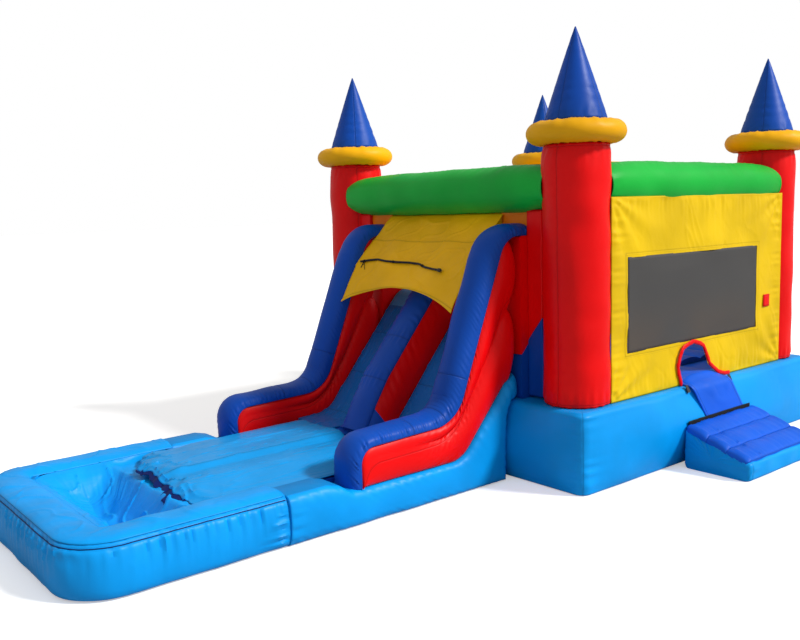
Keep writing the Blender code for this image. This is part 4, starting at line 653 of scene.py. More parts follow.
def column(label):
    """Straight tube with rounded ends; a little fuller beside the beams and drawn in under the ring."""
    sx, sy, seam_at = TOWERS[label]
    ease = np.linspace(0.0, math.pi / 2, 6)
    foot_r = COLUMN_RADIUS - 0.03 + 0.03 * np.sin(ease)
    foot_z = DECK + 0.03 - 0.03 * np.cos(ease)
    body_z = np.linspace(DECK + 0.06, COLUMN_TOP - 0.06, 70)
    share = (body_z - DECK) / (COLUMN_TOP - DECK)
    body_r = COLUMN_RADIUS - 0.006 * np.sin(2 * math.pi * share) ** 2
    body_r = body_r + 0.007 * hump(body_z, BEAM_HEIGHT, 0.2) - 0.012 * hump(body_z, COLUMN_TOP, 0.11)
    radii = np.concatenate([[0.0], foot_r, body_r, foot_r[::-1] - 0.010, [0.0]])
    heights = np.concatenate([[DECK], foot_z, body_z, (COLUMN_TOP - (foot_z - DECK))[::-1], [COLUMN_TOP]])
    points = turned(radii, heights, (sx * HALF_SPACING, sy * HALF_SPACING), 84, math.radians(seam_at))
    seam = seam_map(points, lengthwise=(0, -1), crosswise=(6, -7))
    seam[0] = seam[-1] = (1.0, 0.0)
    edge = np.clip(radii / COLUMN_RADIUS * 2.0 - 1.0, 0.0, 1.0)[:, None]
    relief = (0.005 * gathers(seam, 31, 0.05, 0.035) + 0.003 * waves(points, 32 + sx + 2 * sy, 0.42)) * edge
    groove = -0.005 * np.exp(-seam[..., 0] / 0.012) * edge
    pushed = push(points, relief + groove, closed=True)
    sew("column_skin_" + label, [(pushed, seam, RED)], "tower_column_" + label)


# %% [markdown]
# Each column carries a ring, and it is lumpy, because its inner edge is shorter than its outer one.
# The ring is a tube bent into a circle, and three waves round the circle change its thickness.

# %% Rings
RING_REACH = 0.32
RING_HALF_WIDTH = 0.113
RING_HALF_HEIGHT = 0.099


def ring(label):
    """A tube bent round the tower: its height and reach swell in uneven lumps round the circle."""
    sx, sy, _ = TOWERS[label]
    low, high = (np.array(corner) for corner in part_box("tower_ring_" + label))
    centre = (low + high) / 2
    lumps = np.random.default_rng(40 + 3 * sx + sy).uniform(0.0, math.tau, 4)

    def tube(around, section):
        upper = np.clip(np.sin(section), 0.0, 1.0)
        fine = 0.025 * np.sin(13 * around + lumps[1]) + 0.02 * np.sin(21 * around + lumps[2])
        swell = 1.0 + 0.02 * np.sin(5 * around + lumps[0]) + fine * upper
        out = RING_REACH + RING_HALF_WIDTH * np.cos(section) * swell
        x = centre[0] + out * np.cos(around)
        y = centre[1] + out * np.sin(around)
        return x, y, centre[2] + RING_HALF_HEIGHT * np.sin(section) * swell

    points = grid_of(np.linspace(0.0, math.tau, 121), np.linspace(0.0, math.tau, 33), tube)
    seam = seam_map(points, lengthwise=(10, 22))
    points = push(points, 0.005 * gathers(seam, 44, 0.05, 0.03), closed=True)
    sew("ring_skin_" + label, [(points, seam, GOLD)], "tower_ring_" + label)


# %% [markdown]
# A tall cone of four gores stands on each ring. With it the towers are complete, so the columns,
# rings and cones of all four are sewn here.

# %% Cones and the four towers
CONE_RADIUS = 0.275


def cone(label):
    """A tall cone with four sewn gores, slightly full between its seams, and a rounded foot."""
    sx, sy, seam_at = TOWERS[label]
    low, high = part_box("tower_cone_" + label)
    rise = high[2] - low[2]
    share = np.linspace(0.0, 1.0, 40)
    radii = np.concatenate([[0.0, 0.262, 0.272], CONE_RADIUS * (1.0 - share) ** 0.96 + 0.005 * share, [0.0]])
    heights = np.concatenate([[low[2], low[2], low[2] + 0.006], low[2] + 0.014 + (rise - 0.016) * share,
                              [high[2]]])
    points = turned(radii, heights, (sx * HALF_SPACING, sy * HALF_SPACING), 80, math.radians(seam_at))
    seam = seam_map(points, lengthwise=(0, 20, 40, 60, 80), crosswise=(3,))
    full = fade(radii, CONE_RADIUS)[:, None]
    relief = 0.003 * gathers(seam, 47, 0.06, 0.03) + 0.004 * np.minimum(1.0, seam[..., 0] / 0.08) - 0.004
    pushed = push(points, relief * full, closed=True)
    sew("cone_skin_" + label, [(pushed, seam, ROYAL)], "tower_cone_" + label)


for label in TOWERS:
    column(label)
    ring(label)
    cone(label)

# %% [markdown]
# A green beam joins each pair of columns. It is a straight tube whose ends are cut to the columns'
# round sides. On the grid, a point's run along the beam is its share of the way to the column at
# its own depth, so the end follows the column exactly. Gathers at the ends show where it is sewn.

# %% Beams
SIDES = {"entrance": 0, "back": 1, "garden": 2, "slide": 3}


def beam(side):
    """Tube points: x = share x reach to the column, y and z from a circle that narrows at the ends."""
    limit = HALF_SPACING - COLUMN_RADIUS * 0.56

    def tube(share, angle, shrink=1.0):
        radius = BEAM_RADIUS * (1.0 - 0.10 * np.abs(share) ** 8) * shrink
        y = -BEAM_LINE + radius * np.cos(angle)
        squared = (COLUMN_RADIUS - 0.002) ** 2 - (y + HALF_SPACING) ** 2
        reach = HALF_SPACING - np.sqrt(np.maximum(1e-6, squared))
        return share * np.minimum(limit, reach), y, BEAM_HEIGHT + radius * np.sin(angle)

    along = np.sin(np.linspace(-1.0, 1.0, 121) * math.pi / 2 * 0.93) / math.sin(math.pi / 2 * 0.93)
    angles = np.linspace(0.0, math.tau, 61)
    points = grid_of(along, angles, tube)
    seam = seam_map(points, lengthwise=(15,), crosswise=(0, -1))
    edge = fade(seam_map(points, crosswise=(0, -1))[..., 0], 0.03)
    relief = 0.003 * gathers(seam, 51, 0.07, 0.05) + 0.003 * waves(points, 52, 0.6)
    patches = [(push(points, relief * edge, closed=True), seam, GREEN)]
    for end in (-1.0, 1.0):
        cap = grid_of(np.linspace(1.0, 0.0, 5), angles, lambda shrink, angle: tube(end, angle, shrink))
        patches.append((cap, None, GREEN))
    patches = [(turn_about(grid, SIDES[side]), marks, finish) for grid, marks, finish in patches]
    sew("beam_skin_" + side, patches, "beam_" + side)


for side in SIDES:
    beam(side)

# %% [markdown]
# Walls are single sheets stretched between columns, base and beam. Their corners are pulled, so
# soft wrinkles run in from them.

# %% Walls
WALL_PLACE = HALF_SPACING + 0.26 + 0.007
WALL_HALF = 1.484
WALL_TOP = 2.562
THIN_CLOTH = 0.004


def wall_points(seed, columns=121, rows=81):
    """A flat sheet with wrinkles that fan from its corners and a slow billow."""
    low = DECK + 0.001
    points = grid_of(np.linspace(-WALL_HALF, WALL_HALF, columns), np.linspace(low, WALL_TOP, rows),
                     lambda x, z: (x, -WALL_PLACE, z))
    seam = seam_map(points, lengthwise=(0, -1), crosswise=(0, -1))
    x, z = points[..., 0], points[..., 2]
    slanted = joined(x + 0.55 * z, 0.0 * x, 0.3 * (z - 0.55 * x))
    relief = 0.0045 * waves(points, seed, 0.5) + 0.004 * gathers(seam, seed + 1, 0.09, 0.06)
    relief = relief + 0.0045 * creases(slanted, seed + 2, 0.24, 0.5) * waves(points, seed + 3, 0.9)
    for corner_z in (low, WALL_TOP):
        for corner_x in (-WALL_HALF, WALL_HALF):
            far = np.hypot(x - corner_x, z - corner_z)
            angle = np.arctan2(z - corner_z, x - corner_x)
            relief = relief + 0.007 * np.sin(13.0 * angle + seed) * (far / 0.25) * np.exp(1.0 - far / 0.25)
    return push(points, relief * fade(seam[..., 0], 0.04), outward=(0, -1, 0)), seam


for side in ("back", "garden"):
    points, seam = wall_points(60 + SIDES[side])
    wall = sew("wall_skin_" + side, [(turn_about(points, SIDES[side]), seam, YELLOW)], "wall_" + side,
               thickness=THIN_CLOTH)

# %% [markdown]
# The doorway and the window are cut out of the entrance wall with Boolean cutters, which are
# applied and thrown away, because the leaning arch fits no simple grid. The arch's outline is given
# in shares of its half width and its rise, so its size can be changed without changing its shape.

# %% Doorway arch and cutters
DOOR_CENTRE = 0.015
DOOR_HALF = 0.415
DOOR_RISE = 0.40


def arch_line(margin=0.0, count=65):
    """A rounded outline: steep at the left, highest left of the middle and hollow at the right."""
    corners = [(-1.0, 0.0), (-1.15, 0.48), (-0.98, 0.90), (-0.54, 1.02), (-0.12, 0.88), (0.16, 0.37),
               (0.52, 0.13), (1.0, 0.0)]
    shares = resample(rounded_path(corners, (0.3, 0.25, 0.25, 0.3, 0.2, 0.2)), count)
    return (DOOR_CENTRE, DECK) + np.array([DOOR_HALF + margin, DOOR_RISE + margin]) * shares


def cut_shape(name, outline):
    """A prism of an X-Z outline through the entrance wall, to cut with."""
    rings = np.stack([np.insert(outline, 1, y, axis=1) for y in (-2.1, -1.7)])
    count = len(outline)
    faces = [[k, (k + 1) % count, count + (k + 1) % count, count + k] for k in range(count)]
    faces += [list(range(count)), list(range(count, 2 * count))]
    mesh = bpy.data.meshes.new(name)
    mesh.from_pydata(rings.reshape(-1, 3).tolist(), [], faces)
    shell = bmesh.new()
    shell.from_mesh(mesh)
    bmesh.ops.recalc_face_normals(shell, faces=shell.faces)
    shell.to_mesh(mesh)
    shell.free()
    return put_in_scene(name, mesh)


def cut_out(piece, cutters):
    """Apply the thickness and the cuts to the mesh, then delete the cutters."""
    for cutter in cutters:
        boolean = piece.modifiers.new("Cut", "BOOLEAN")
        boolean.operation = "DIFFERENCE"
        boolean.object = cutter
    graph = bpy.context.evaluated_depsgraph_get()
    result = bpy.data.meshes.new_from_object(piece.evaluated_get(graph))
    piece.modifiers.clear()
    old = piece.data
    piece.data = result
    bpy.data.meshes.remove(old)
    for cutter in cutters:
        bpy.data.objects.remove(cutter, do_unlink=True)


# %% [markdown]
# The entrance wall's seam distances also count from the window's edge, so a stitched hem shows
# round the mesh. The hem is found with whole arrays: the distance to a rectangle is the larger
# of the distances past its sides.

# %% Entrance wall
WINDOW_WIDTH = 2.21
WINDOW_HEIGHT = 0.86
WINDOW_CENTRE = -0.13
WINDOW_LEFT = WINDOW_CENTRE - WINDOW_WIDTH / 2
WINDOW_RIGHT = WINDOW_CENTRE + WINDOW_WIDTH / 2
WINDOW_LOW = DECK + 0.43
WINDOW_HIGH = WINDOW_LOW + WINDOW_HEIGHT
HEM_WIDTH = 0.035

points, seam = wall_points(64, 181, 121)
x, z = points[..., 0], points[..., 2]
past_x = np.maximum(WINDOW_LEFT - x, x - WINDOW_RIGHT)
past_z = np.maximum(WINDOW_LOW - z, z - WINDOW_HIGH)
hem = np.abs(np.maximum(past_x, past_z) - HEM_WIDTH)
run = np.where(past_x > past_z, z, x)
seam = joined(np.minimum(seam[..., 0], hem), np.where(hem < seam[..., 0], run, seam[..., 1]))
wall = sew("wall_skin_entrance", [(points, seam, YELLOW)], "wall_entrance",
           thickness=THIN_CLOTH)
window = np.array([(WINDOW_LEFT, WINDOW_LOW), (WINDOW_RIGHT, WINDOW_LOW), (WINDOW_RIGHT, WINDOW_HIGH),
                   (WINDOW_LEFT, WINDOW_HIGH)])
arch = arch_line()
below = DECK - 0.05
doorway = np.concatenate([[(arch[0, 0], below)], arch, [(arch[-1, 0], below)]])
cut_out(wall, [cut_shape("window_cutter", window), cut_shape("doorway_cutter", doorway)])

# %% [markdown]
# The window is a knotless netting with square holes a few millimetres wide. From a distance it
# reads as a dark grey veil. The finish draws the threads as two sets of fine waves, paints the holes
# dark as the shade of the inside behind them, and paints a warm glow of the lit inside into the
# lower part of the grey, in slow patches.

# %% Window netting
def netting_finish():
    """Holes painted near-black as shade of the inside, grey threads with a painted warm glow low down: the
    larger of two fine sine waves marks the threads.
    """
    material, tree, shader = new_material("window_netting")
    place = add(tree, "TexCoord").outputs["Object"]
    axes = add(tree, "SeparateXYZ", {"Vector": place}).outputs
    one = maths(tree, "SINE", times(tree, axes["X"], 900.0))
    two = maths(tree, "SINE", times(tree, axes["Z"], 900.0))
    thread = ramp(tree, maths(tree, "MAXIMUM", one, two), 0.1, 0.8)
    veil = add(tree, "TexNoise", {"Vector": place, "Scale": 0.9, "Detail": 2.0}).outputs["Fac"]
    # Painted light: a warm glow from the lit inside, low in the window and in slow patches.
    painted_inside_glow = times(tree, ramp(tree, axes["Z"], 1.7, 1.2), ramp(tree, veil, 0.35, 0.65))
    grey = mixed(tree, painted_inside_glow, (0.070, 0.068, 0.066, 1.0), (0.105, 0.080, 0.060, 1.0))
    bump = add(tree, "Bump", {"Height": times(tree, thread, 0.0004), "Distance": 1.0})
    # Painted shade: the holes take a near-black colour for the dark inside behind them.
    feed(tree, shader, {"Base Color": mixed(tree, thread, (0.030, 0.030, 0.032, 1.0), grey),
                        "Normal": bump.outputs["Normal"], "Roughness": 0.75})
    return material


tuck = 0.004
points = grid_of(np.linspace(WINDOW_LEFT - tuck, WINDOW_RIGHT + tuck, 61),
                 np.linspace(WINDOW_LOW - tuck, WINDOW_HIGH + tuck, 31), lambda x, z: (x, -WALL_PLACE, z))
calm = fade(seam_map(points, lengthwise=(0, -1), crosswise=(0, -1))[..., 0], 0.15)
points = push(points, 0.004 * waves(points, 70, 0.7) * calm, outward=(0, -1, 0))
netting = sew("window_netting", [(points, None, netting_finish())], "window_mesh_entrance",
              thickness=0.002)

# %% [markdown]
# The roof sheet lies on the four beams and sags between them. Its corners are cut off where the
# columns stand. It is hidden in the photo but not from above.

# %% Roof
ROOF_REACH = BEAM_LINE - 0.06


def roof_height(x, y):
    """The beams' inner shoulders less a sag of (1 - share ^ 2) ^ 0.7; share is the larger of x and y."""
    share = np.minimum(1.0, np.maximum(np.abs(x), np.abs(y)) / ROOF_REACH)
    return BEAM_HEIGHT + BEAM_RADIUS - 0.004 - 0.10 * (1.0 - share ** 2) ** 0.7


corner = 2 * HALF_SPACING - (COLUMN_RADIUS + 0.02) * math.sqrt(2)
ticks = np.linspace(-ROOF_REACH, ROOF_REACH, 101)
points = grid_of(ticks, ticks, lambda x, y: (x, y, roof_height(x, y)))
over = np.maximum(0.0, np.abs(points[..., 0]) + np.abs(points[..., 1]) - corner) / 2
points[..., 0] -= np.sign(points[..., 0]) * over
points[..., 1] -= np.sign(points[..., 1]) * over
seam = seam_map(points, lengthwise=(25, 50, 75), crosswise=(0, -1))
from_beam = BEAM_LINE - 0.1 - np.maximum(np.abs(points[..., 0]), np.abs(points[..., 1]))
points[..., 2] += (0.006 * waves(points, 80, 0.5) + 0.005 * creases(points, 81, 0.8)) * fade(from_beam, 0.3)
roof = sew("roof_skin", [(points, seam, YELLOW)], "roof_cover", thickness=0.005)

# %% [markdown]
# A pad of seven crowned channels makes the jumping floor. A crown is a sine arch to a power below
# one, so it is full between the seams and narrow at them.

# %% Jumping floor
CHANNELS = 7
start, end = PLATFORM_BACK + GAP, HALF_SPACING + 0.075
pitch = (end - start) / CHANNELS
share = np.linspace(0.0, CHANNELS, 16 * CHANNELS + 1)
crown = np.abs(np.sin(math.pi * share)) ** 0.6
top = joined(start + pitch * share, DECK + 0.07 * (0.42 + 0.55 * crown))
section = np.concatenate([top, [(end, DECK), (start, DECK)]])
points = loop(joined(section[:, 0], np.linspace(-1.3, 1.3, 41)[:, None], section[:, 1]))
seam = seam_map(points, lengthwise=range(0, len(top), 16))
lift = 0.003 * gathers(seam, 84, 0.06, 0.04)
lift[:, len(top):] = 0.0
points[..., 2] = np.maximum(DECK, points[..., 2] + lift)
jumping = sew("jumping_floor_skin", [(points, seam, PANEL_BLUE)], "jumping_floor")

# %% [markdown]
# The doorway's edge is bound with a folded red strip. The binding is a flattened tube carried along
# the arch: its two half axes lie across the line in the wall and straight out of it.

# %% Doorway binding
def tube_on(path, wide, deep, toward, sides=17):
    """Points = path + wide cos a x (tangent x toward) + deep sin a x toward."""
    tangent = np.gradient(path, axis=0)
    tangent /= np.linalg.norm(tangent, axis=1)[:, None]
    side = np.cross(tangent, np.broadcast_to(toward, tangent.shape))
    side /= np.linalg.norm(side, axis=1)[:, None]
    out = np.cross(side, tangent)
    angle = np.linspace(0.0, math.tau, sides)[:, None]
    return path[:, None] + side[:, None] * (wide * np.cos(angle)) + out[:, None] * (deep * np.sin(angle))


arch = arch_line(0.012, 97)
path = joined(arch[:, 0], -1.912, np.maximum(arch[:, 1], DECK + 0.016))
points = tube_on(path, 0.021, 0.011, (0.0, 1.0, 0.0))
points = push(points, 0.0015 * waves(points, 90, 0.05), closed=True)
sew("doorway_binding", [(points, seam_map(points, lengthwise=(2,)), RED)], "door_binding")

# %% [markdown]
# A blue panel covers the step over the base's edge. Its side view is a rounded corner that follows
# the base down, and a pillow below it lifts its middle. Beside the window sits a small red patch.


low = BASE_HEIGHT - 0.33
front_low = -HALF_BASE - base_side(0.0, low) - 0.014
profile = rounded_path([(-1.3, DECK + 0.006), (-HALF_BASE - 0.038, DECK + 0.006), (front_low, low)], (0.07,))
profile = resample(profile, 70)
points = joined(np.linspace(-0.5, 0.5, 41), profile[:, :1], profile[:, 1:])
pillow = fade(points[..., 1] + HALF_BASE + 0.05, 0.14) ** 2 * (1.0 - (2.0 * points[..., 0]) ** 4)
below = np.maximum(0.0, BASE_HEIGHT - points[..., 2])
points[..., 0] = DOOR_CENTRE - 0.070 + 0.68 * points[..., 0] + 0.14 * below / 0.28
points[..., 2] += 0.075 * pillow
seam = seam_map(points, lengthwise=(2, -3), crosswise=(-3,))
points = push(points, np.maximum(0.0, 0.0025 * waves(points, 91, 0.16)), outward=(0, -1, 1))
panel = sew("step_panel", [(points, seam, PANEL_BLUE)], "entrance_panel", thickness=0.006)

left = WINDOW_RIGHT + 0.14
points = grid_of(np.linspace(left, left + 0.12, 13), np.linspace(WINDOW_LOW + 0.20, WINDOW_LOW + 0.33, 13),
                 lambda x, z: (x, -1.9045, z))
seam = seam_map(points, lengthwise=(1, -2), crosswise=(1, -2))
from_edge = seam_map(points, lengthwise=(0, -1), crosswise=(0, -1))[..., 0]
points = push(points, 0.002 * np.minimum(1.0, from_edge / 0.02), outward=(0, -1, 0))
sew("hook_patch", [(points, seam, RED)], "wall_patch", thickness=THIN_CLOTH)

# %% [markdown]
# The ramp in front of the doorway is a wedge of air. Its section is a rounded outline across the
# slope, and the outline shrinks towards both ends, so the ends round over. The end seams gather
# the cloth.

# %% Entrance ramp
RAMP_BACK = -HALF_BASE - BASE_BULGE - GAP
RAMP_FRONT = RAMP_BACK - 0.67
RAMP_MIDDLE = DOOR_CENTRE - 0.02
RAMP_HALF = 0.61


def closed_path(corners, radius, count):
    """A round-cornered closed outline at equal steps, begun in the middle of its first side."""
    corners = [np.array(corner, float) for corner in corners]
    middle = (corners[0] + corners[-1]) / 2
    path = rounded_path([middle, *corners, middle], [radius] * len(corners))
    return resample(path, count + 1)[:-1]


def cap(ring, bulge=(0.0, 0.0, 0.0), steps=6):
    """Rings from an edge to its middle, pushed out by bulge x (2 share - share ^ 2)."""
    share = np.linspace(0.0, 1.0, steps + 1)[:, None, None]
    return ring + (ring.mean(axis=0) - ring) * share + np.array(bulge) * (2 * share - share ** 2)


def quarter_round(share):
    """sqrt(1 - (1 - share) ^ 2): a quarter circle from nothing to one."""
    return np.sqrt(np.clip(1.0 - (1.0 - share) ** 2, 0, 1))


outline = closed_path([(RAMP_BACK, 0.0), (RAMP_BACK, 0.38), (RAMP_FRONT, 0.16), (RAMP_FRONT, 0.0)], 0.03, 100)
stations = RAMP_MIDDLE + RAMP_HALF * np.sin(np.linspace(-1.0, 1.0, 61) * math.pi / 2)
from_end = np.minimum(1.0, (RAMP_HALF - np.abs(stations - RAMP_MIDDLE)) / 0.06)
inset = 0.030 * (1.0 - quarter_round(from_end))
pull = (1.0 - inset / 0.3)[:, None]
centre_y = (RAMP_FRONT + RAMP_BACK) / 2
points = loop(joined(stations[:, None], centre_y + (outline[:, 0] - centre_y) * pull, outline[:, 1] * pull))
seam = seam_map(points, crosswise=(8, -9))
relief = 0.005 * gathers(seam, 93, 0.045, 0.04) + 0.004 * waves(points, 94, 0.3)
relief = relief - 0.003 * np.exp(-seam[..., 0] / 0.01)
points = push(points, relief * fade(points[..., 2], 0.04), closed=True)
points[..., 1] = np.minimum(points[..., 1], RAMP_BACK)
ends = [(cap(points[end], (bulge, 0, 0)), None, SKY) for end, bulge in ((0, -0.012), (-1, 0.012))]
sew("ramp_skin", [(points, seam, SKY), *ends], "ramp_body")

# %% [markdown]
# The ramp's top is padded in three channels, which rise from its slope and thin out at its ends. A
# black strip ties the pad to the castle.

# %% Ramp pad and strip
start = np.array([RAMP_BACK - 0.014, 0.3825])
end = np.array([RAMP_FRONT + 0.028, 0.1625])
length = np.linalg.norm(end - start)
slope = (end - start) / length
lift = np.array([slope[1], -slope[0]])
share = np.linspace(0.0, 3.0, 97)
crown = np.abs(np.sin(math.pi * share)) ** 0.5
thick = 0.05 * np.clip(1.0 - inset / 0.034, 0.02, 1.0)
height = thick[:, None] * (0.40 + 0.55 * crown)
top = (start + slope * (length * share / 3)[:, None])[None] + lift * height[..., None]
first, last = (np.broadcast_to(edge, (61, 1, 2)) for edge in (start, end))
section = np.concatenate([first, top, last], axis=1)
points = joined(stations[:, None], centre_y + (section[..., 0] - centre_y) * pull,
                section[..., 1] * pull + 0.001)
seam = seam_map(points, lengthwise=(1, 33, 65, 97))
relief = 0.004 * gathers(seam, 95, 0.06, 0.04) + 0.002 * waves(points, 96, 0.2)
relief[:, [0, -1]] = 0.0
points = push(points, relief * np.clip(1.0 - inset / 0.02, 0.0, 1.0)[:, None], outward=(0, -0.3, 1))
pad = sew("ramp_pad_skin", [(points, seam, PANEL_BLUE)], "ramp_pad")

points = grid_of(np.linspace(-0.55, 0.55, 61), np.linspace(0.3805, 0.436, 7),
                 lambda x, z: (RAMP_MIDDLE + x, RAMP_BACK - 0.014, z))
points = push(points, 0.0015 * waves(points, 97, 0.1), outward=(0, -1, 0))
sew("ramp_strip", [(points, None, WEBBING)], "ramp_tie_strip", thickness=0.006)

# %% [markdown]
# The rails are the castle's hardest form. Seen from the side, each one comes level out of the
# castle, bends down the slope and runs out level to a round nose. A red body of two air tubes
# lies under a blue band that wraps its front edge. Both follow the same line of stations, so the
# band's back stays on the body's front all the way.

# %% Rail lines
RAIL_REAR = FRONT + 0.11
STATIONS = 141


def rail_front():
    """The line between band and body: level crest, slope, toe and the drop at the nose."""
    corners = [(RAIL_REAR, RAIL_TOP), (FRONT - 0.07, RAIL_TOP), (FRONT - 0.71, 0.655), (FRONT - 1.75, 0.62),
               (FRONT - 1.75, 0.3003)]
    return resample(rounded_path(corners, (0.24, 0.36, 0.14)), STATIONS)


def rail_seat():
    """The line where the body meets the sky-blue flank."""
    corners = [(RAIL_REAR - 0.045, 0.975), (FRONT - 0.09, 0.905), (FRONT - 0.64, 0.30), (FRONT - 1.746, 0.30)]
    return resample(rounded_path(corners, (0.10, 0.30)), STATIONS)


def lane_line(count):
    """The bed's top line: level platform edge, crest, slope and toe."""
    corners = [(PLATFORM_FRONT + PLATFORM_EDGE - GAP, PLATFORM_HEIGHT), (FRONT + 0.32, PLATFORM_HEIGHT),
               (FRONT - 0.70, 0.415), (FRONT - 1.07, 0.40)]
    return resample(rounded_path(corners, (0.22, 0.34)), count)


def lobes(share, crease, depth):
    """Two sine arches to the power 0.7, one on each side of the crease, mixed with one wide arch."""
    local = np.where(share < crease, share / crease, (share - crease) / (1.0 - crease))
    double = np.maximum(0.0, np.sin(math.pi * np.clip(local, 0.0, 1.0))) ** 0.7
    single = np.maximum(0.0, np.sin(math.pi * share)) ** 0.5
    return single + (double - single) * depth


print("rail crest", rail_front()[0], "nose", rail_front()[-1])

# %% [markdown]
# The rail's body is a ring of points at each station: from the front line to the seat line on its
# outer side, and back on its inner side. Two lobes swell it near the castle and merge into one
# towards the nose. The band is a flat arch that stands out of the front line, and it stands out
# further on the slope than at the crest and the nose.

# %% Rails
BAND_HALF = 0.1575
BAND_STEPS = 521
BOTH_SIDES = (("near", -1), ("far", 1))


def rail_body(label, side):
    """Rings between the front line and the seat line, swollen by the lobes, with domed rear ends."""
    share = np.linspace(0.0, 1.0, 41)
    ticks = np.arange(STATIONS)
    station = ticks[:, None].astype(float)
    crease = np.interp(station, (0, 50, 84, 140), (0.50, 0.48, 0.34, 0.22))
    swell = lobes(share, crease, np.interp(station, (0, 82, 104, 140), (1.0, 1.0, 0.12, 0.0)))
    at = station + 5.0 * (1.0 - swell) * np.maximum(0.0, 1.0 - station / 14.0) ** 2
    begin, finish = (joined(np.interp(at, ticks, line[:, 0]), np.interp(at, ticks, line[:, 1]))
                     for line in (rail_front(), rail_seat()))
    between = begin + (finish - begin) * share[:, None]
    dome = 0.45 + 0.55 * quarter_round(np.minimum(1.0, station / 9.0))
    half = (RAIL_WIDTH / 2 - 0.042 + 0.048 * swell) * dome
    outer = joined(between[..., 0], side * (RAIL_MIDDLE + half), between[..., 1])
    inner = joined(between[..., 0], side * (RAIL_MIDDLE - half), between[..., 1])
    points = loop(np.concatenate([outer, inner[:, ::-1]], axis=1))
    seam = seam_map(points, lengthwise=(0, 17, 40, 41, 64, 81))
    edge = fade(np.minimum(share, 1.0 - share), 0.08)
    edge = np.concatenate([edge, edge[::-1], edge[:1]])
    upper = fade(110.0 - station, 30.0)
    relief = 0.0045 * gathers(seam, 100 + side, 0.045, 0.03) * upper + 0.003 * waves(points, 102, 0.5)
    pushed = push(points, relief * edge, closed=True)
    patches = [(pushed, seam, RED), (cap(pushed[0]), None, RED), (cap(pushed[-1]), None, RED)]
    sew("rail_skin_" + label, patches, "rail_body_" + label)


def rail_band(label, side):
    """Points = line + outward x depth x cos ^ 0.7 a, at BAND_HALF x sin a from the rail's middle."""
    lead = np.linspace((PLATFORM_BACK, RAIL_TOP), (RAIL_REAR + 0.01, RAIL_TOP), 40)
    line = resample(np.concatenate([lead, rail_front()]), BAND_STEPS)
    angle = np.linspace(-math.pi / 2, math.pi / 2, 37)
    share = np.arange(BAND_STEPS) / (BAND_STEPS - 1.0)
    deep = np.interp(share, (0.0, 0.20, 0.30, 0.62, 0.74, 1.0), (0.105, 0.108, 0.165, 0.165, 0.108, 0.105))
    depth = deep[:, None] * np.maximum(0.0, np.cos(angle)) ** 0.7
    places = line[:, None] + square_to(line, (0.0, 1.0))[:, None] * depth[..., None]
    points = joined(places[..., 0], side * (RAIL_MIDDLE + BAND_HALF * np.sin(angle)), places[..., 1])
    joins = (300, 360, 410)
    seam = seam_map(points, lengthwise=(0, -1), crosswise=joins)
    edges = seam_map(points, lengthwise=(0, -1))
    relief = 0.0055 * gathers(edges, 104 + side, 0.034, 0.026) + 0.003 * waves(points, 105, 0.4)
    relief -= 0.003 * np.exp(-seam_map(points, crosswise=joins)[..., 0] / 0.012)
    pushed = push(points, relief * fade(np.cos(angle), 0.25))
    sew("band_skin_" + label, [(loop(pushed), loop(seam), ROYAL)], "rail_band_" + label)


for label, side in BOTH_SIDES:
    rail_body(label, side)
    rail_band(label, side)

# %% [markdown]
# Under each rail stands a sky-blue side chamber. Its outer face fills the space between two lines:
# the rail's seat above, and the castle's front and the ground below. Matching points of the two
# lines are joined by straight rulings, and the ruled face is then rounded at its edges.

# %% Side chambers of the slide
BED_BACK = FRONT - BASE_BULGE - 0.005


def matched(first, second, counts):
    """Resample each matching pair of runs of two lines to the same number of points."""
    lines = []
    for line in (first, second):
        runs = [resample(np.array(run, float), count)[:-1] for run, count in zip(line, counts)]
        lines.append(np.concatenate(runs + [np.array(line[-1][-1:], float)]))
    return lines


def flank(label, side):
    """Ring at each ruling: up the outer face, over the top and down the inner face."""
    seat = rail_seat()
    turn = int(np.argmin(np.abs(seat[:, 0] - (FRONT - 0.60))))
    crown = POOL_WALL_HEIGHT - 0.02
    to_pool = [(FRONT - 1.87, 0.31), (FRONT - 1.96, crown - 0.03), (FRONT - 2.08, crown), (POOL_SEAM, crown)]
    lower_rear = [(RAIL_REAR - 0.015, 0.742), (FRONT - 0.03, 0.732), (BED_BACK, 0.584), (BED_BACK, 0.0)]
    upper_runs = [seat[:turn + 1], np.concatenate([seat[turn:], to_pool])]
    top, bottom = matched(upper_runs, [lower_rear, [(BED_BACK, 0.0), (POOL_SEAM, 0.0)]], (60, 100))
    share = np.linspace(0.0, 1.0, 33)
    between = bottom[:, None] + (top - bottom)[:, None] * share[:, None]
    tall = np.linalg.norm(top - bottom, axis=1)[:, None]
    from_edge = np.minimum(share, 1.0 - share) * tall
    inset = 0.050 * (1.0 - quarter_round(np.minimum(1.0, from_edge / 0.09)))
    rear = np.maximum(0.0, 1.0 - np.arange(len(top)) / 9.0)[:, None]
    inset = inset + 0.06 * (1.0 - np.sqrt(1.0 - rear ** 2)) - 0.018 * np.sin(math.pi * share) * (1.0 - rear)
    outer = joined(between[..., 0], side * (RAIL_OUTSIDE - inset), between[..., 1])
    inner_y = side * (RAIL_INSIDE + 0.002 + np.maximum(0.0, inset))
    inner = joined(between[..., 0], inner_y, between[..., 1])
    points = loop(np.concatenate([outer, inner[:, ::-1]], axis=1))
    seam = seam_map(points, lengthwise=(0, 32, 33, 65), crosswise=(-1,))
    edge = fade(from_edge, 0.03)
    edge = np.concatenate([edge, edge[:, ::-1], edge[:, :1]], axis=1)
    relief = 0.0025 * gathers(seam, 110 + side, 0.06, 0.035) + 0.004 * waves(points, 112, 0.6)
    relief[:, 33:66] = np.minimum(relief[:, 33:66], 0.0)
    pushed = push(points, np.minimum(relief, 0.008) * edge, closed=True)
    sew("flank_skin_" + label, [(pushed, seam, SKY)], "slide_flank_" + label)


for label, side in BOTH_SIDES:
    flank(label, side)

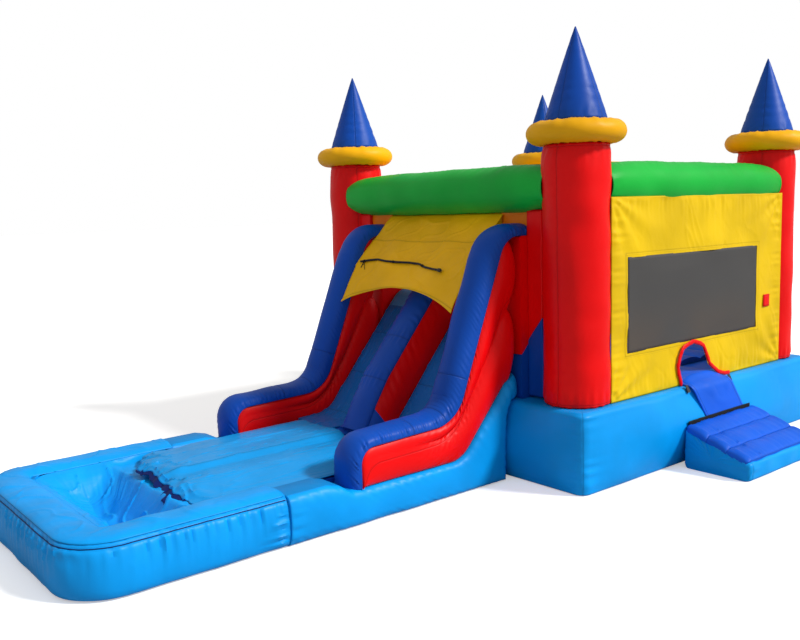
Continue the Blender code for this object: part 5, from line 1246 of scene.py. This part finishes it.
# %% [markdown]
# The bed under the lanes is an air chamber that only shows where its end faces the pool, so its
# skin is its outline carried across. The two lanes on it are slick sheets, loosely laid, with
# long wrinkles that cross the slope. The wrinkles rise from the bed and never sink into it.

# %% Bed and lanes
def prism(outline, depths):
    """An X-Z outline carried between depths along Y."""
    return loop(np.stack([np.insert(outline, 1, depth, axis=1) for depth in depths]))


line = lane_line(61)
castle_end = PLATFORM_FRONT + PLATFORM_EDGE
below = [(FRONT - 1.07, EXIT_BED_HEIGHT), (POOL_SEAM + GAP, EXIT_BED_HEIGHT), (POOL_SEAM + GAP, 0.0),
         (BED_BACK, 0.0), (BED_BACK, 0.584), (FRONT - 0.02, 0.732), (PLATFORM_FRONT, 0.732),
         (PLATFORM_FRONT, 0.981), (castle_end, 1.591)]
bed = prism(np.concatenate([line, below]), np.linspace(-BED_HALF_WIDTH, BED_HALF_WIDTH, 5))
sew("bed_skin", [(bed, None, ROYAL)], "slide_bed")


def lane(label, side):
    """The lane line lifted off the bed, with cross wrinkles and diagonal creases above it."""
    line = lane_line(181)
    up = square_to(line, (0.0, 1.0))
    points = joined(line[:, :1], side * np.linspace(0.254, BED_HALF_WIDTH - 0.003, 49), line[:, 1:])
    normal = joined(up[:, 0], 0.0, up[:, 1])[:, None]
    seam = seam_map(points, lengthwise=(2, -3), crosswise=(70, 110, 150))
    drawn = points * np.array([0.16, 1.0, 0.16])
    relief = 0.006 + 0.009 * creases(drawn, 120 + side, 0.09) + 0.005 * (1.0 + waves(points, 122, 0.35) / 2)
    points = points + normal * np.maximum(0.004, relief)[..., None]
    # Painted light: the first 43 rows, on the crest, take the paler sunlit copy of the lane blue.
    patches = [(points[:43], seam[:43], CREST_PAINTED_SUNLIT), (points[42:], seam[42:], LANE)]
    sheet = sew("lane_sheet_" + label, patches, "slide_lane_" + label, thickness=0.005)


for label, side in BOTH_SIDES:
    lane(label, side)

# %% [markdown]
# A divider keeps the lanes apart: red sides with a round royal-blue crest that ends in a full
# nose. The crest line stands a fixed height above the bed and drops at the nose, and each ring is
# a half circle on two gently swollen sides.

# %% Lane divider
DIVIDER_HEIGHT = 0.30
DIVIDER_HALF = 0.175
line = lane_line(400)
end = FRONT - 0.97
keep = line[(line[:, 0] > end) & (line[:, 0] < FRONT + 0.38)]
up = square_to(keep, (0.0, 1.0))
raised = keep + up * DIVIDER_HEIGHT
nose_z = float(np.interp(end, line[::-1, 0], line[::-1, 1]))
slope = raised[raised[:, 0] > end + 0.30]
nose = rounded_path([slope[-1], (end + 0.15, nose_z + 0.28), (end, nose_z + 0.012)], (0.12,))
crest = resample(np.concatenate([slope, nose[1:]]), 121)
foot = resample(keep + up * GAP, 121)
out = square_to(crest, (0.0, 1.0))
angle = np.linspace(-math.pi / 2, math.pi / 2, 33)
round_top = crest[:, None] + out[:, None] * (0.08 * np.cos(angle))[:, None]
top = joined(round_top[..., 0], DIVIDER_HALF * np.sin(angle), round_top[..., 1])
share = np.linspace(0.0, 1.0, 17)
walls = crest[:, None] + (foot - crest)[:, None] * share[:, None]
belly = DIVIDER_HALF + 0.070 * share + 0.020 * np.sin(math.pi * share)
right_wall = joined(walls[..., 0], belly, walls[..., 1])
left_wall = right_wall[:, ::-1] * np.array([1.0, -1.0, 1.0])
sides = np.concatenate([right_wall, left_wall], axis=1)
top_seam = seam_map(top, lengthwise=(0, -1), crosswise=(60, 88))
side_seam = seam_map(sides, lengthwise=(0, -1))
relief = 0.005 * gathers(top_seam, 130, 0.05, 0.03) - 0.003 * np.exp(-top_seam[..., 0] / 0.01)
top = push(top, relief * fade(np.cos(angle), 0.3))
relief = 0.004 * gathers(side_seam, 131, 0.06, 0.04) + 0.003 * waves(sides, 132, 0.2)
soft = fade(np.minimum(share, 1.0 - share), 0.1)
sides = push(sides, relief * np.concatenate([soft, soft]))
patches = [(top, top_seam, ROYAL), (sides[:106], side_seam[:106], RED), (sides[105:], side_seam[105:], ROYAL)]
sew("divider_skin", patches, "lane_divider")

# %% [markdown]
# Inside the castle a climbing wall with round foot bars leads up to the platform, and children
# pass between two side walls to the lanes. The side walls change colour at a seam that bends down
# towards the slide.

# %% Platform and climbing wall
BLOCK_HALF = 0.879
SIDE_START = 0.8805
BLOCK_TOP = PLATFORM_HEIGHT - 0.002
middle_block = [(PLATFORM_BACK, DECK), (PLATFORM_BACK, BLOCK_TOP), (PLATFORM_FRONT + 0.541, BLOCK_TOP),
                (PLATFORM_FRONT + 0.541, 1.588), (PLATFORM_FRONT, 0.978), (PLATFORM_FRONT, DECK)]
bend = [(PLATFORM_BACK, 1.31), (-1.71, 1.31), (PLATFORM_FRONT, 1.14)]
lower_side = [(PLATFORM_FRONT, DECK), (PLATFORM_BACK, DECK), *bend]
upper_side = [*bend[::-1], (PLATFORM_BACK, RAIL_TOP - 0.002), (PLATFORM_FRONT, RAIL_TOP - 0.002)]
middle_block, lower_side, upper_side = (closed_path(corners, 0.004, 120)
                                        for corners in (middle_block, lower_side, upper_side))
level = DECK + 0.07 + GAP
head = np.array([PLATFORM_BACK + 0.001, BLOCK_TOP])
foot = np.array([PLATFORM_BACK + 0.85, level + 0.06])
length = np.linalg.norm(foot - head)
run = (foot - head) / length
normal = np.array([-run[1], run[0]])
turn = np.linspace(0.0, math.pi, 15)[:, None]
bars = [head + run * length * (number + 0.7) / 3 + 0.055 * (run * np.cos(turn) + normal * np.sin(turn))
        for number in (2, 1, 0)]
inside_x = PLATFORM_BACK - 0.02
climb = np.concatenate([[(inside_x, level), (foot[0], level), foot], *bars, [head, (inside_x, head[1])]])
half = RAIL_OUTSIDE - 0.006
patches = [(prism(middle_block, np.linspace(-BLOCK_HALF, BLOCK_HALF, 5)), None, ROYAL),
           (prism(climb, np.linspace(-0.6, 0.6, 5)), None, ROYAL)]
for depths in ((-half, -SIDE_START), (SIDE_START, half)):
    patches += [(prism(lower_side, depths), None, ROYAL), (prism(upper_side, depths), None, RED)]
sew("platform_skin", patches, "platform_block")

# %% [markdown]
# Padded panels close the slide's side next to the two front columns: they are dark red above and
# blue below a slanting seam. A small orange sheet in each corner between the canopy, the beam and
# the rail is painted backlight: it stands for the yellow vinyl there, glowing orange with daylight
# from behind.

# %% Closing panels and painted backlight sheets
def closing_panel(label, side):
    """A sheet of padding from the platform to the column, split in colour along a slanting seam."""
    near, far = RAIL_OUTSIDE - 0.0057, HALF_SPACING - 0.272
    y = np.linspace(near, far, 13)[:, None]
    share = np.linspace(0.0, 1.0, 31)
    slant = 1.27 + 0.22 * (y - near) / (far - near)
    patches = []
    for low, high, finish in ((DECK + 0.022, slant, ROYAL), (slant, 2.47, RED)):
        points = joined(-HALF_SPACING - 0.13, side * y, low + (high - low) * share)
        pushed = push(points, 0.003 * waves(points, 140, 0.2), outward=(-1, 0, 0))
        patches.append((pushed, seam_map(points, lengthwise=(0, -1)), finish))
    panel = sew("closing_panel_skin_" + label, patches, "closing_panel_" + label,
                thickness=0.042)


def painted_backlight_sheet(side):
    """A small orange sheet between the canopy's top corner, the beam and the rail's crest: painted backlight.
    """
    points = grid_of(np.linspace(RAIL_INSIDE - 0.02, HALF_SPACING - 0.26, 21),
                     np.linspace(RAIL_TOP + 0.01, 2.47, 13), lambda y, z: (-1.735, side * y, z))
    return push(points, 0.003 * waves(points, 143, 0.12), outward=(-1, 0, 0)), None, PAINTED_BACKLIGHT_ORANGE


for label, side in BOTH_SIDES:
    closing_panel(label, side)
# The orange sheets are painted backlight.
sew("canopy_painted_backlight", [painted_backlight_sheet(-1), painted_backlight_sheet(1)], thickness=0.003)

# %% [markdown]
# The pool's wall is one fat tube in the shape of a U. Its section is flat below, full outside and
# crowned above. It is carried along a path with round corners. A dark piped seam runs along its
# top outer edge, and the cloth is gathered below that seam.

# %% Pool wall
def smooth_ring(points, rounds=3):
    """Cut every corner of a closed outline at a quarter and three quarters of its sides."""
    for _ in range(rounds):
        after = np.roll(points, -1, axis=0)
        points = np.stack([0.75 * points + 0.25 * after, 0.25 * points + 0.75 * after], axis=1).reshape(-1, 2)
    return points


WALL_STEPS = 261
half = POOL_WALL_WIDTH / 2
high = POOL_WALL_HEIGHT
shares = [(-0.70, 0.0), (0.75, 0.0), (0.95, 0.09), (1.04, 0.27), (1.05, 0.50), (0.99, 0.72), (0.89, 0.88),
          (0.52, 0.99), (0.0, 1.01), (-0.50, 0.98), (-0.88, 0.84), (-1.0, 0.55), (-0.95, 0.20)]
section = smooth_ring(np.array(shares) * (half, high))
section[:, 1] = np.maximum(0.0, section[:, 1])
line = RAIL_OUTSIDE - half
corner_x = POOL_END + half
corners = [(POOL_SEAM, -line), (corner_x, -line), (corner_x, line), (POOL_SEAM, line)]
path = resample(rounded_path(corners, (0.235, 0.235)), WALL_STEPS)
outward = square_to(path, (0.0, -1.0))
flat = path[:, None] + outward[:, None] * section[:, :1]
points = loop(joined(flat[..., 0], flat[..., 1], section[:, 1]))
piped, inner_seam = (int(np.argmin(np.hypot(section[:, 0] - half * out, section[:, 1] - high * up)))
                     for out, up in ((0.86, 0.89), (-0.8, 0.88)))
seam = seam_map(points, lengthwise=(piped, inner_seam), crosswise=(0, -1))
stretched = points * np.array([1.0, 1.0, 0.25])
relief = 0.009 * gathers(seam, 150, 0.05, 0.050) + 0.005 * waves(stretched, 151, 0.35)
relief = relief + 0.004 * creases(stretched, 152, 0.5) - 0.006 * np.exp(-seam[..., 0] / 0.012)
outer_side = (section[:, 0] > 0.0) & (section[:, 1] < high * 0.90)
relief *= np.where(np.append(outer_side, outer_side[0]), 1.0, 0.22)
tick = np.arange(WALL_STEPS)
ends = fade(np.minimum(tick, WALL_STEPS - 1 - tick), 3.0)[:, None]
pushed = push(points, relief * fade(points[..., 2], 0.05) * ends, closed=True)
sew("pool_wall_skin", [(pushed, seam, SKY)], "pool_wall")

piping = pushed[1:-1, piped] + np.array([0.0, 0.0, 0.002])
piping = tube_on(piping, 0.0038, 0.0038, (0.0, 0.0, 1.0), 11)
sew("pool_piping", [(piping, None, NAVY_PIPING_AND_SHADOW)])

# %% [markdown]
# Inside the wall hangs a loose liner: its hem lies over the wall's top, its sides slope down to a
# small floor, and because it is cut too large it lies in pleats. Each ring of the grid is a rounded
# rectangle, and the rings move inwards and down. Towards the slide the liner first runs level as a
# landing, as far as the photo shows. Pleats run down the slopes, and creases cross them at random.

# %% Basin liner
def round_rectangle(half_x, half_y, radius, count):
    """Points at equal steps round a rectangle with round corners."""
    corners = [(half_x, half_y), (-half_x, half_y), (-half_x, -half_y), (half_x, -half_y)]
    return closed_path(corners, radius, count)


LANDING_REACH = 0.50
RING_POINTS = 240
AROUND = 7.0
half_y = RAIL_OUTSIDE - POOL_WALL_WIDTH
low_x = POOL_END + POOL_WALL_WIDTH
corners = [(0.0, 0.388), (0.05, 0.365), (0.11, 0.315), (0.18, 0.235), (0.26, 0.145), (0.33, 0.075),
           (0.40, 0.048)]
levels = resample(rounded_path(corners, (0.03, 0.05, 0.05, 0.1, 0.08)), 49)
rings = []
for inset, level in levels:
    high_x = POOL_SEAM - 0.002 - inset - LANDING_REACH * min(1.0, inset / 0.012)
    half_x = (high_x - low_x - inset) / 2
    flat = round_rectangle(half_x, half_y - inset, 0.05 + 0.5 * inset, RING_POINTS) + (high_x - half_x, 0.0)
    slide_side = fade(flat[:, 0] - high_x + 0.10, 0.10)
    rings.append(joined(flat[:, 0], flat[:, 1], level + (min(level, 0.334) - level) * slide_side))
points = loop(np.stack(rings))
floor_rings = cap(points[-1, :-1], steps=12)
points = np.concatenate([points, loop(floor_rings)[1:]], axis=0)
around = np.linspace(0.0, 1.0, RING_POINTS + 1) * AROUND
down = np.linspace(0.0, 1.0, points.shape[0])[:, None]
on_slope = np.sin(math.pi * np.clip(down / 0.75, 0.0, 1.0))
pleat_seed = np.random.default_rng(160)
pleats = sum(np.sin(around * math.tau / size + pleat_seed.uniform(0.0, math.tau) + 2.5 * down)
             for size in (0.09, 0.14, 0.20, 0.35, 0.5)) / 2.5
relief = 0.006 * pleats * np.sin(around * math.pi / AROUND) ** 0.5 * on_slope
rough = 0.020 * creases(points, 161, 0.42) + 0.005 * waves(points, 162, 0.25)
points[..., 2] += np.maximum(-0.02, relief + rough * fade(down, 0.15))

# %% [markdown]
# The liner's hem is a strip over the wall's top, carried along the same path as the wall. It is one
# piece with the liner, which was cut from a single rectangle: its cut size is the arc length over
# the middle of the pool in both directions, with the hem at each wall added.

# %% Liner's hem and cut size
over = [(0.135, 0.394), (0.110, 0.411), (0.070, 0.4235), (0.020, 0.4290), (-0.040, 0.4290), (-0.085, 0.4265),
        (-0.120, 0.4200), (-0.150, 0.4080), (-0.170, 0.3975), (-0.185, 0.3880)]
over = resample(np.array(over), 31)
hem = path[1:-1, None] + outward[1:-1, None] * over[:, :1]
hem = joined(hem[..., 0], hem[..., 1], over[:, 1])
calm = np.sin(math.pi * np.linspace(0.0, 1.0, 31)) ** 0.5
soft_folds = 0.004 * waves(hem * np.array([1.0, 1.0, 0.3]), 163, 0.22) + 0.009 * creases(hem, 164, 0.45)
hem = push(hem, np.maximum(-0.003, soft_folds) * calm, outward=(0, 0, 1))
patches = [(points, None, LINER), (hem, seam_map(hem, lengthwise=(0,)), LINER)]
liner = sew("basin_sheet", patches, "pool_basin_liner", thickness=THIN_CLOTH)
flat = (length_of(points[:, 60]) + length_of(points[:, 180]) + 0.66,
        length_of(points[:, 0]) + length_of(points[:, 120]) + 0.33)
print("basin liner cut", round(flat[0], 2), "x", round(flat[1], 2))

# %% [markdown]
# Between the lanes and the pool lies a glossy sheet over the low bed and the landing. It bags in
# long humps that run with the slide. Its far end droops over the basin in a ragged line, and a navy
# flap hangs below it as painted shadow, for the shade under the lip. Its height is read from a few
# heights across the slide, smoothed, and creased lengthwise, because children pull it that way.

# %% Exit sheet
def exit_height(share):
    """Humps across the slide, from its far side to its near side, as a smoothed run of heights."""
    spots = np.array([0.0, 0.05, 0.14, 0.30, 0.44, 0.50, 0.55, 0.62, 0.70, 0.80, 0.90, 1.0])
    rises = np.array([0.10, 0.70, 0.92, 0.88, 0.97, 1.0, 0.50, 0.58, 0.74, 0.45, 0.22, 0.10])
    fine = np.linspace(0.0, 1.0, 401)
    line = np.convolve(np.interp(fine, spots, rises), np.hanning(21) / np.hanning(21).sum(), mode="same")
    return 0.11 * np.interp(share, fine, line)


one, two = np.meshgrid(np.linspace(0.0, 1.0, 141), np.linspace(0.0, 1.0, 161), indexing="ij")
start = FRONT - 1.073
reach_to = np.interp(two, (0.0, 0.1, 0.28, 0.5, 0.65, 0.82, 0.93, 1.0),
                     (-4.70, -4.80, -4.96, -4.92, -4.95, -4.97, -4.92, -4.88))
ragged = 0.014 * np.sin(two * 31.0 + 1.3) + 0.006 * np.sin(two * 83.0)
x = start + (reach_to + ragged - start) * one
wide = np.interp(x, (POOL_SEAM + 0.005, POOL_SEAM + 0.12), (0.793, BED_HALF_WIDTH - 0.012))
y = wide * (1.0 - 2.0 * two)
flat = joined(x, y, 0.0)
side_fade = np.sin(math.pi * two) ** 0.4
drawn = flat * np.array([0.10, 1.0, 1.0])
ridge = 0.007 * creases(drawn, 170, 0.12) + 0.003 * creases(drawn, 171, 0.07)
ridge = ridge + 0.004 * waves(drawn * 0.8, 172, 0.2)
crumpled = 0.026 * creases(flat * np.array([1.0, 0.6, 1.0]), 173, 0.24) + 0.010 * waves(flat, 174, 0.20)
ridge = ridge + fade(one - 0.80, 0.20) * crumpled
rise = exit_height(two) * (1.0 - 0.12 * one) * np.clip(one / 0.05 + 0.4, 0, 1)
droop = 0.045 * fade(one - 0.93, 0.07) ** 1.5
z = EXIT_BED_HEIGHT + 0.012 + rise + ridge * side_fade - droop * side_fade
points = joined(x, y, np.maximum(z, EXIT_BED_HEIGHT + 0.010))
seam = seam_map(points, lengthwise=(2, 80, 158), crosswise=(2,))

# Painted shadow: a navy flap hangs from the ragged lip, standing for the shade under it.
hung = np.linspace(0.0, 1.0, 9)
columns = slice(44, 157)
place = two[0, columns]
notches = 0.5 + 0.5 * np.sin(place * 96.0) * np.sin(place * 41.0 + 0.6)
deep = np.interp(place, (0.27, 0.42, 0.60, 0.78, 0.90, 0.975), (0.10, 0.35, 0.55, 0.95, 1.0, 0.10))
lip = points[-1, columns] - np.array([0.0, 0.0, 0.004])
fall = (deep * (0.72 + 0.28 * notches))[:, None] * np.array([-0.125, 0.0, -0.090])
painted_shadow_flap = lip + hung[:, None, None] * fall
sheet = sew("exit_sheet", [(points, seam, EXIT), (painted_shadow_flap, None, NAVY_PIPING_AND_SHADOW)], "exit_liner",
            thickness=THIN_CLOTH)

# %% [markdown]
# The canopy is a cloth hung from the front beam, tied over the crest and cut to a raised arch at
# its hem, so that children duck under it. One curve gives its side view, and each point runs a
# share of the way down it. Fine folds and a sag between the rails make it cloth.

# %% Canopy
def canopy_place(across, down):
    """Side-view curve at its share, shortened by the arch, plus sag and folds between the rails."""
    hang = BEAM_HEIGHT - BEAM_RADIUS - 0.0036
    corners = [(-BEAM_LINE, hang), (-BEAM_LINE - 0.03, hang), (FRONT - 0.02, RAIL_TOP - 0.05),
               (FRONT - 0.25, RAIL_TOP - 0.28), (FRONT - 0.46, RAIL_TOP - 0.68)]
    profile = resample(rounded_path(corners, (0.02, 0.12, 0.25)), 121)
    along = down * (1.0 - 0.13 * (1.0 - across ** 2) * down ** 4 / 0.75)
    spots = np.linspace(0.0, 1.0, 121)
    x, z = np.interp(along, spots, profile[:, 0]), np.interp(along, spots, profile[:, 1])
    drape = np.sin(math.pi * np.minimum(1.0, 1.1 * down))
    fold = 0.012 * np.sin(7.0 * across + 3.0 * down) * drape
    sag = 0.035 * (1.0 - across ** 2) * drape
    y = across * (BED_HALF_WIDTH + 0.002 + 0.011 * down)
    return joined(x + sag + fold, y, z - sag * 0.5 - fold * 0.4)


two, one = np.meshgrid(np.linspace(-1.0, 1.0, 121), np.linspace(0.0, 1.0, 91))
points = canopy_place(two, one)
seam = seam_map(points, crosswise=(-4, 30))
tucks = 0.0015 * np.sin(two * 46.0 + 2.0 * np.sin(6.0 * one)) * hump(one, 0.46, 0.12)
fan = 0.008 * creases(points * np.array([1.0, 0.7, 0.7]), 180, 0.38) + 0.004 * waves(points, 181, 0.28)
points = push(points, (tucks + fan) * fade(one, 0.12), outward=(-1, 0, 0.3))
# The canopy's finish is the brighter copy of the wall yellow: painted light.
canopy = sew("canopy_cloth", [(points, seam, CANOPY_PAINTED_BRIGHTER)], "slide_canopy", thickness=THIN_CLOTH)

# %% [markdown]
# A spray hose lies across the canopy. It is tied on with short tapes and closed by a cap. The
# object holds it all the way, so it isn't a free hose. Its line is the canopy's own surface at
# chosen places, lifted by the hose's radius.

# %% Spray hose
HOSE_RADIUS = 0.011
BETWEEN = 4
stops = np.array([(0.93, 0.605), (0.78, 0.585), (0.62, 0.575), (0.45, 0.595), (0.25, 0.60), (0.05, 0.595),
                  (-0.15, 0.605), (-0.30, 0.64), (-0.45, 0.655), (-0.58, 0.665)])
tick = np.arange(41)
share = np.linspace(0.0, len(stops) - 1.0, len(tick))
across, down = (np.interp(share, np.arange(len(stops)), stops[:, k]) for k in (0, 1))
here = canopy_place(across, down)
out = np.cross(canopy_place(across + 0.01, down) - here, canopy_place(across, down + 0.01) - here)
out /= np.linalg.norm(out, axis=1)[:, None]
out *= -np.sign(out[:, :1])
rise = 0.010 * np.maximum(0.0, 10.0 * tick / tick[-1] - 9.0)
route = here + out * (0.004 + HOSE_RADIUS + 0.0021 + rise)[:, None]
fine_tick = np.linspace(0, tick[-1], BETWEEN * tick[-1] + 1)
fine = np.stack([np.interp(fine_tick, tick, route[:, k]) for k in range(3)], axis=1)
kernel = np.hanning(9) / np.hanning(9).sum()
padded = np.concatenate([np.repeat(fine[:1], 4, axis=0), fine, np.repeat(fine[-1:], 4, axis=0)])
fine = np.stack([np.convolve(padded[:, k], kernel, mode="valid") for k in range(3)], axis=1)
RUBBER = vinyl("hose_rubber", (0.006, 0.008, 0.022), 0.34, crumple=0.0008, per_metre=40.0, groove=0.0)
hose = tube_on(fine, HOSE_RADIUS, HOSE_RADIUS, (0.3, 0.0, 1.0), 21)
sew("hose_skin", [(hose, None, RUBBER)], "spray_hose")

# %% [markdown]
# Short black tapes hold the hose at three places, and the ends of the knot hang from the first of
# them. A tape is a hoop round the hose, and an end is a narrow strip with a slight wave.

# %% Ties of the hose
KNOT = 8
circle = np.linspace(0.0, math.tau, 25)[:, None]
ties = []
for spot in (KNOT, 66, 118):
    tangent = fine[spot + 1] - fine[spot - 1]
    tangent /= np.linalg.norm(tangent)
    first = np.cross(tangent, (0.0, 0.0, 1.0))
    first /= np.linalg.norm(first)
    second = np.cross(first, tangent)
    hoop = fine[spot] + 0.0135 * (np.cos(circle) * first + np.sin(circle) * second)
    ties.append((np.stack([hoop + tangent * shift for shift in (-0.007, 0.0, 0.007)]), None, WEBBING))
sew("hose_ties", ties, thickness=0.0015)
tails = []
for swing, length in ((-0.5, 0.10), (0.35, 0.075), (1.3, 0.05)):
    run = np.linspace(0.0, length, 15)[:, None]
    drop = run * np.array([-0.25, math.sin(swing), -math.cos(swing)])
    wave = 0.004 * np.sin(run * 60.0) * np.array([1.0, 0.0, 0.0])
    strip = fine[KNOT] + np.array([-0.012, 0.0, 0.0]) + drop + wave
    edges = [strip + np.array([0.0, 0.5 * across, 0.3 * across]) for across in (-0.009, 0.009)]
    tails.append((np.stack(edges, axis=1), None, WEBBING))
sew("hose_tie_tails", tails, thickness=0.0015)

# %% [markdown]
# Behind the castle an air-release zipper closes the base, and a cloth sleeve leads from the
# blower's mouth into it. The sleeve is a tube whose corners grow round towards the castle, and
# the air makes it flutter in rings.

# %% Zipper tape and inflation sleeve
low, high = (np.array(corner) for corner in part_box("zipper_tape"))
level = (low[2] + high[2]) / 2
points = grid_of(np.linspace(low[1], high[1], 47), np.linspace(-0.018, 0.018, 7),
                 lambda y, v: (HALF_BASE + base_side(y, level + v) + 0.0026, y, level + v))
seam = seam_map(points, lengthwise=(3,))
sew("zipper_cloth", [(points, seam, WEBBING)], "zipper_tape", thickness=0.0026)

low, high = (np.array(corner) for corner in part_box("inflation_sleeve"))
middle = (low + high) / 2
half_wide, half_high = (high[1] - low[1]) / 2 - 0.002, (high[2] - low[2]) / 2 - 0.002
one, two = np.meshgrid(np.linspace(0.0, 1.0, 81), np.linspace(0.0, math.tau, 97), indexing="ij")
square = np.maximum(np.abs(np.cos(two)), np.abs(np.sin(two)))
y = middle[1] + half_wide * np.cos(two) / square
z = middle[2] + half_high * np.sin(two) / square
near_x = HALF_BASE + base_side(y, z) + 0.001
points = joined(near_x + (high[0] - 0.001 - near_x) * one, y, z)
calm = np.sin(math.pi * one) ** 0.6
points = push(points, -0.006 * (0.5 + 0.5 * waves(points, 190, 0.12)).clip(0, 1) * calm, closed=True)
sleeve = sew("sleeve_cloth", [(points, seam_map(points, lengthwise=(36,)), SKY)], "inflation_sleeve",
             thickness=0.003)

# %% [markdown]
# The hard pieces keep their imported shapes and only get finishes: moulded orange and black plastic
# with a fine grain, and bright steel for the zipper's slider. Moulded plastic is a little rougher
# and paler where hands and sacks have rubbed it.

# %% Moulded plastic and steel
def moulded(name, colour, roughness=0.45, metal=0.0):
    """Fine grain bumps, slow colour drift and worn patches on moulded or plated parts."""
    material, tree, shader = new_material(name)
    place = add(tree, "TexCoord").outputs["Object"]
    grain = add(tree, "TexNoise", {"Vector": place, "Scale": 420.0, "Detail": 2.0}).outputs["Fac"]
    wear = add(tree, "TexNoise", {"Vector": place, "Scale": 14.0, "Detail": 5.0}).outputs["Fac"]
    rubbed = ramp(tree, wear, 0.48, 0.72)
    paler = (*(min(1.0, c * 1.5 + 0.03) for c in colour), 1.0)
    bump = add(tree, "Bump", {"Height": times(tree, grain, 0.00012), "Distance": 1.0})
    feed(tree, shader, {"Base Color": mixed(tree, times(tree, rubbed, 0.35), (*colour, 1.0), paler),
                        "Roughness": plus(tree, roughness, times(tree, rubbed, 0.18)),
                        "Normal": bump.outputs["Normal"], "Metallic": metal})
    return material


BLACK_PIECES = ["blower_motor", "blower_stand", "blower_impeller", "blower_rocker", "buckle_body_left",
                "buckle_body_right", "buckle_tongue_left", "buckle_tongue_right", "hose_end_cap"]
FINISH_OF = {
    moulded("blower_orange", (0.80, 0.22, 0.02), 0.42): ["blower_housing"],
    moulded("black_moulded", (0.018, 0.018, 0.020), 0.48): BLACK_PIECES,
    moulded("zipper_steel", (0.55, 0.55, 0.57), 0.30, 1.0): ["zipper_slider"],
}
for finish, names in FINISH_OF.items():
    for name in names:
        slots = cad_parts[name].data.materials
        if len(slots) == 0:
            slots.append(finish)
        for number in range(len(slots)):
            slots[number] = finish
print("finished", sum(len(names) for names in FINISH_OF.values()), "packed pieces")
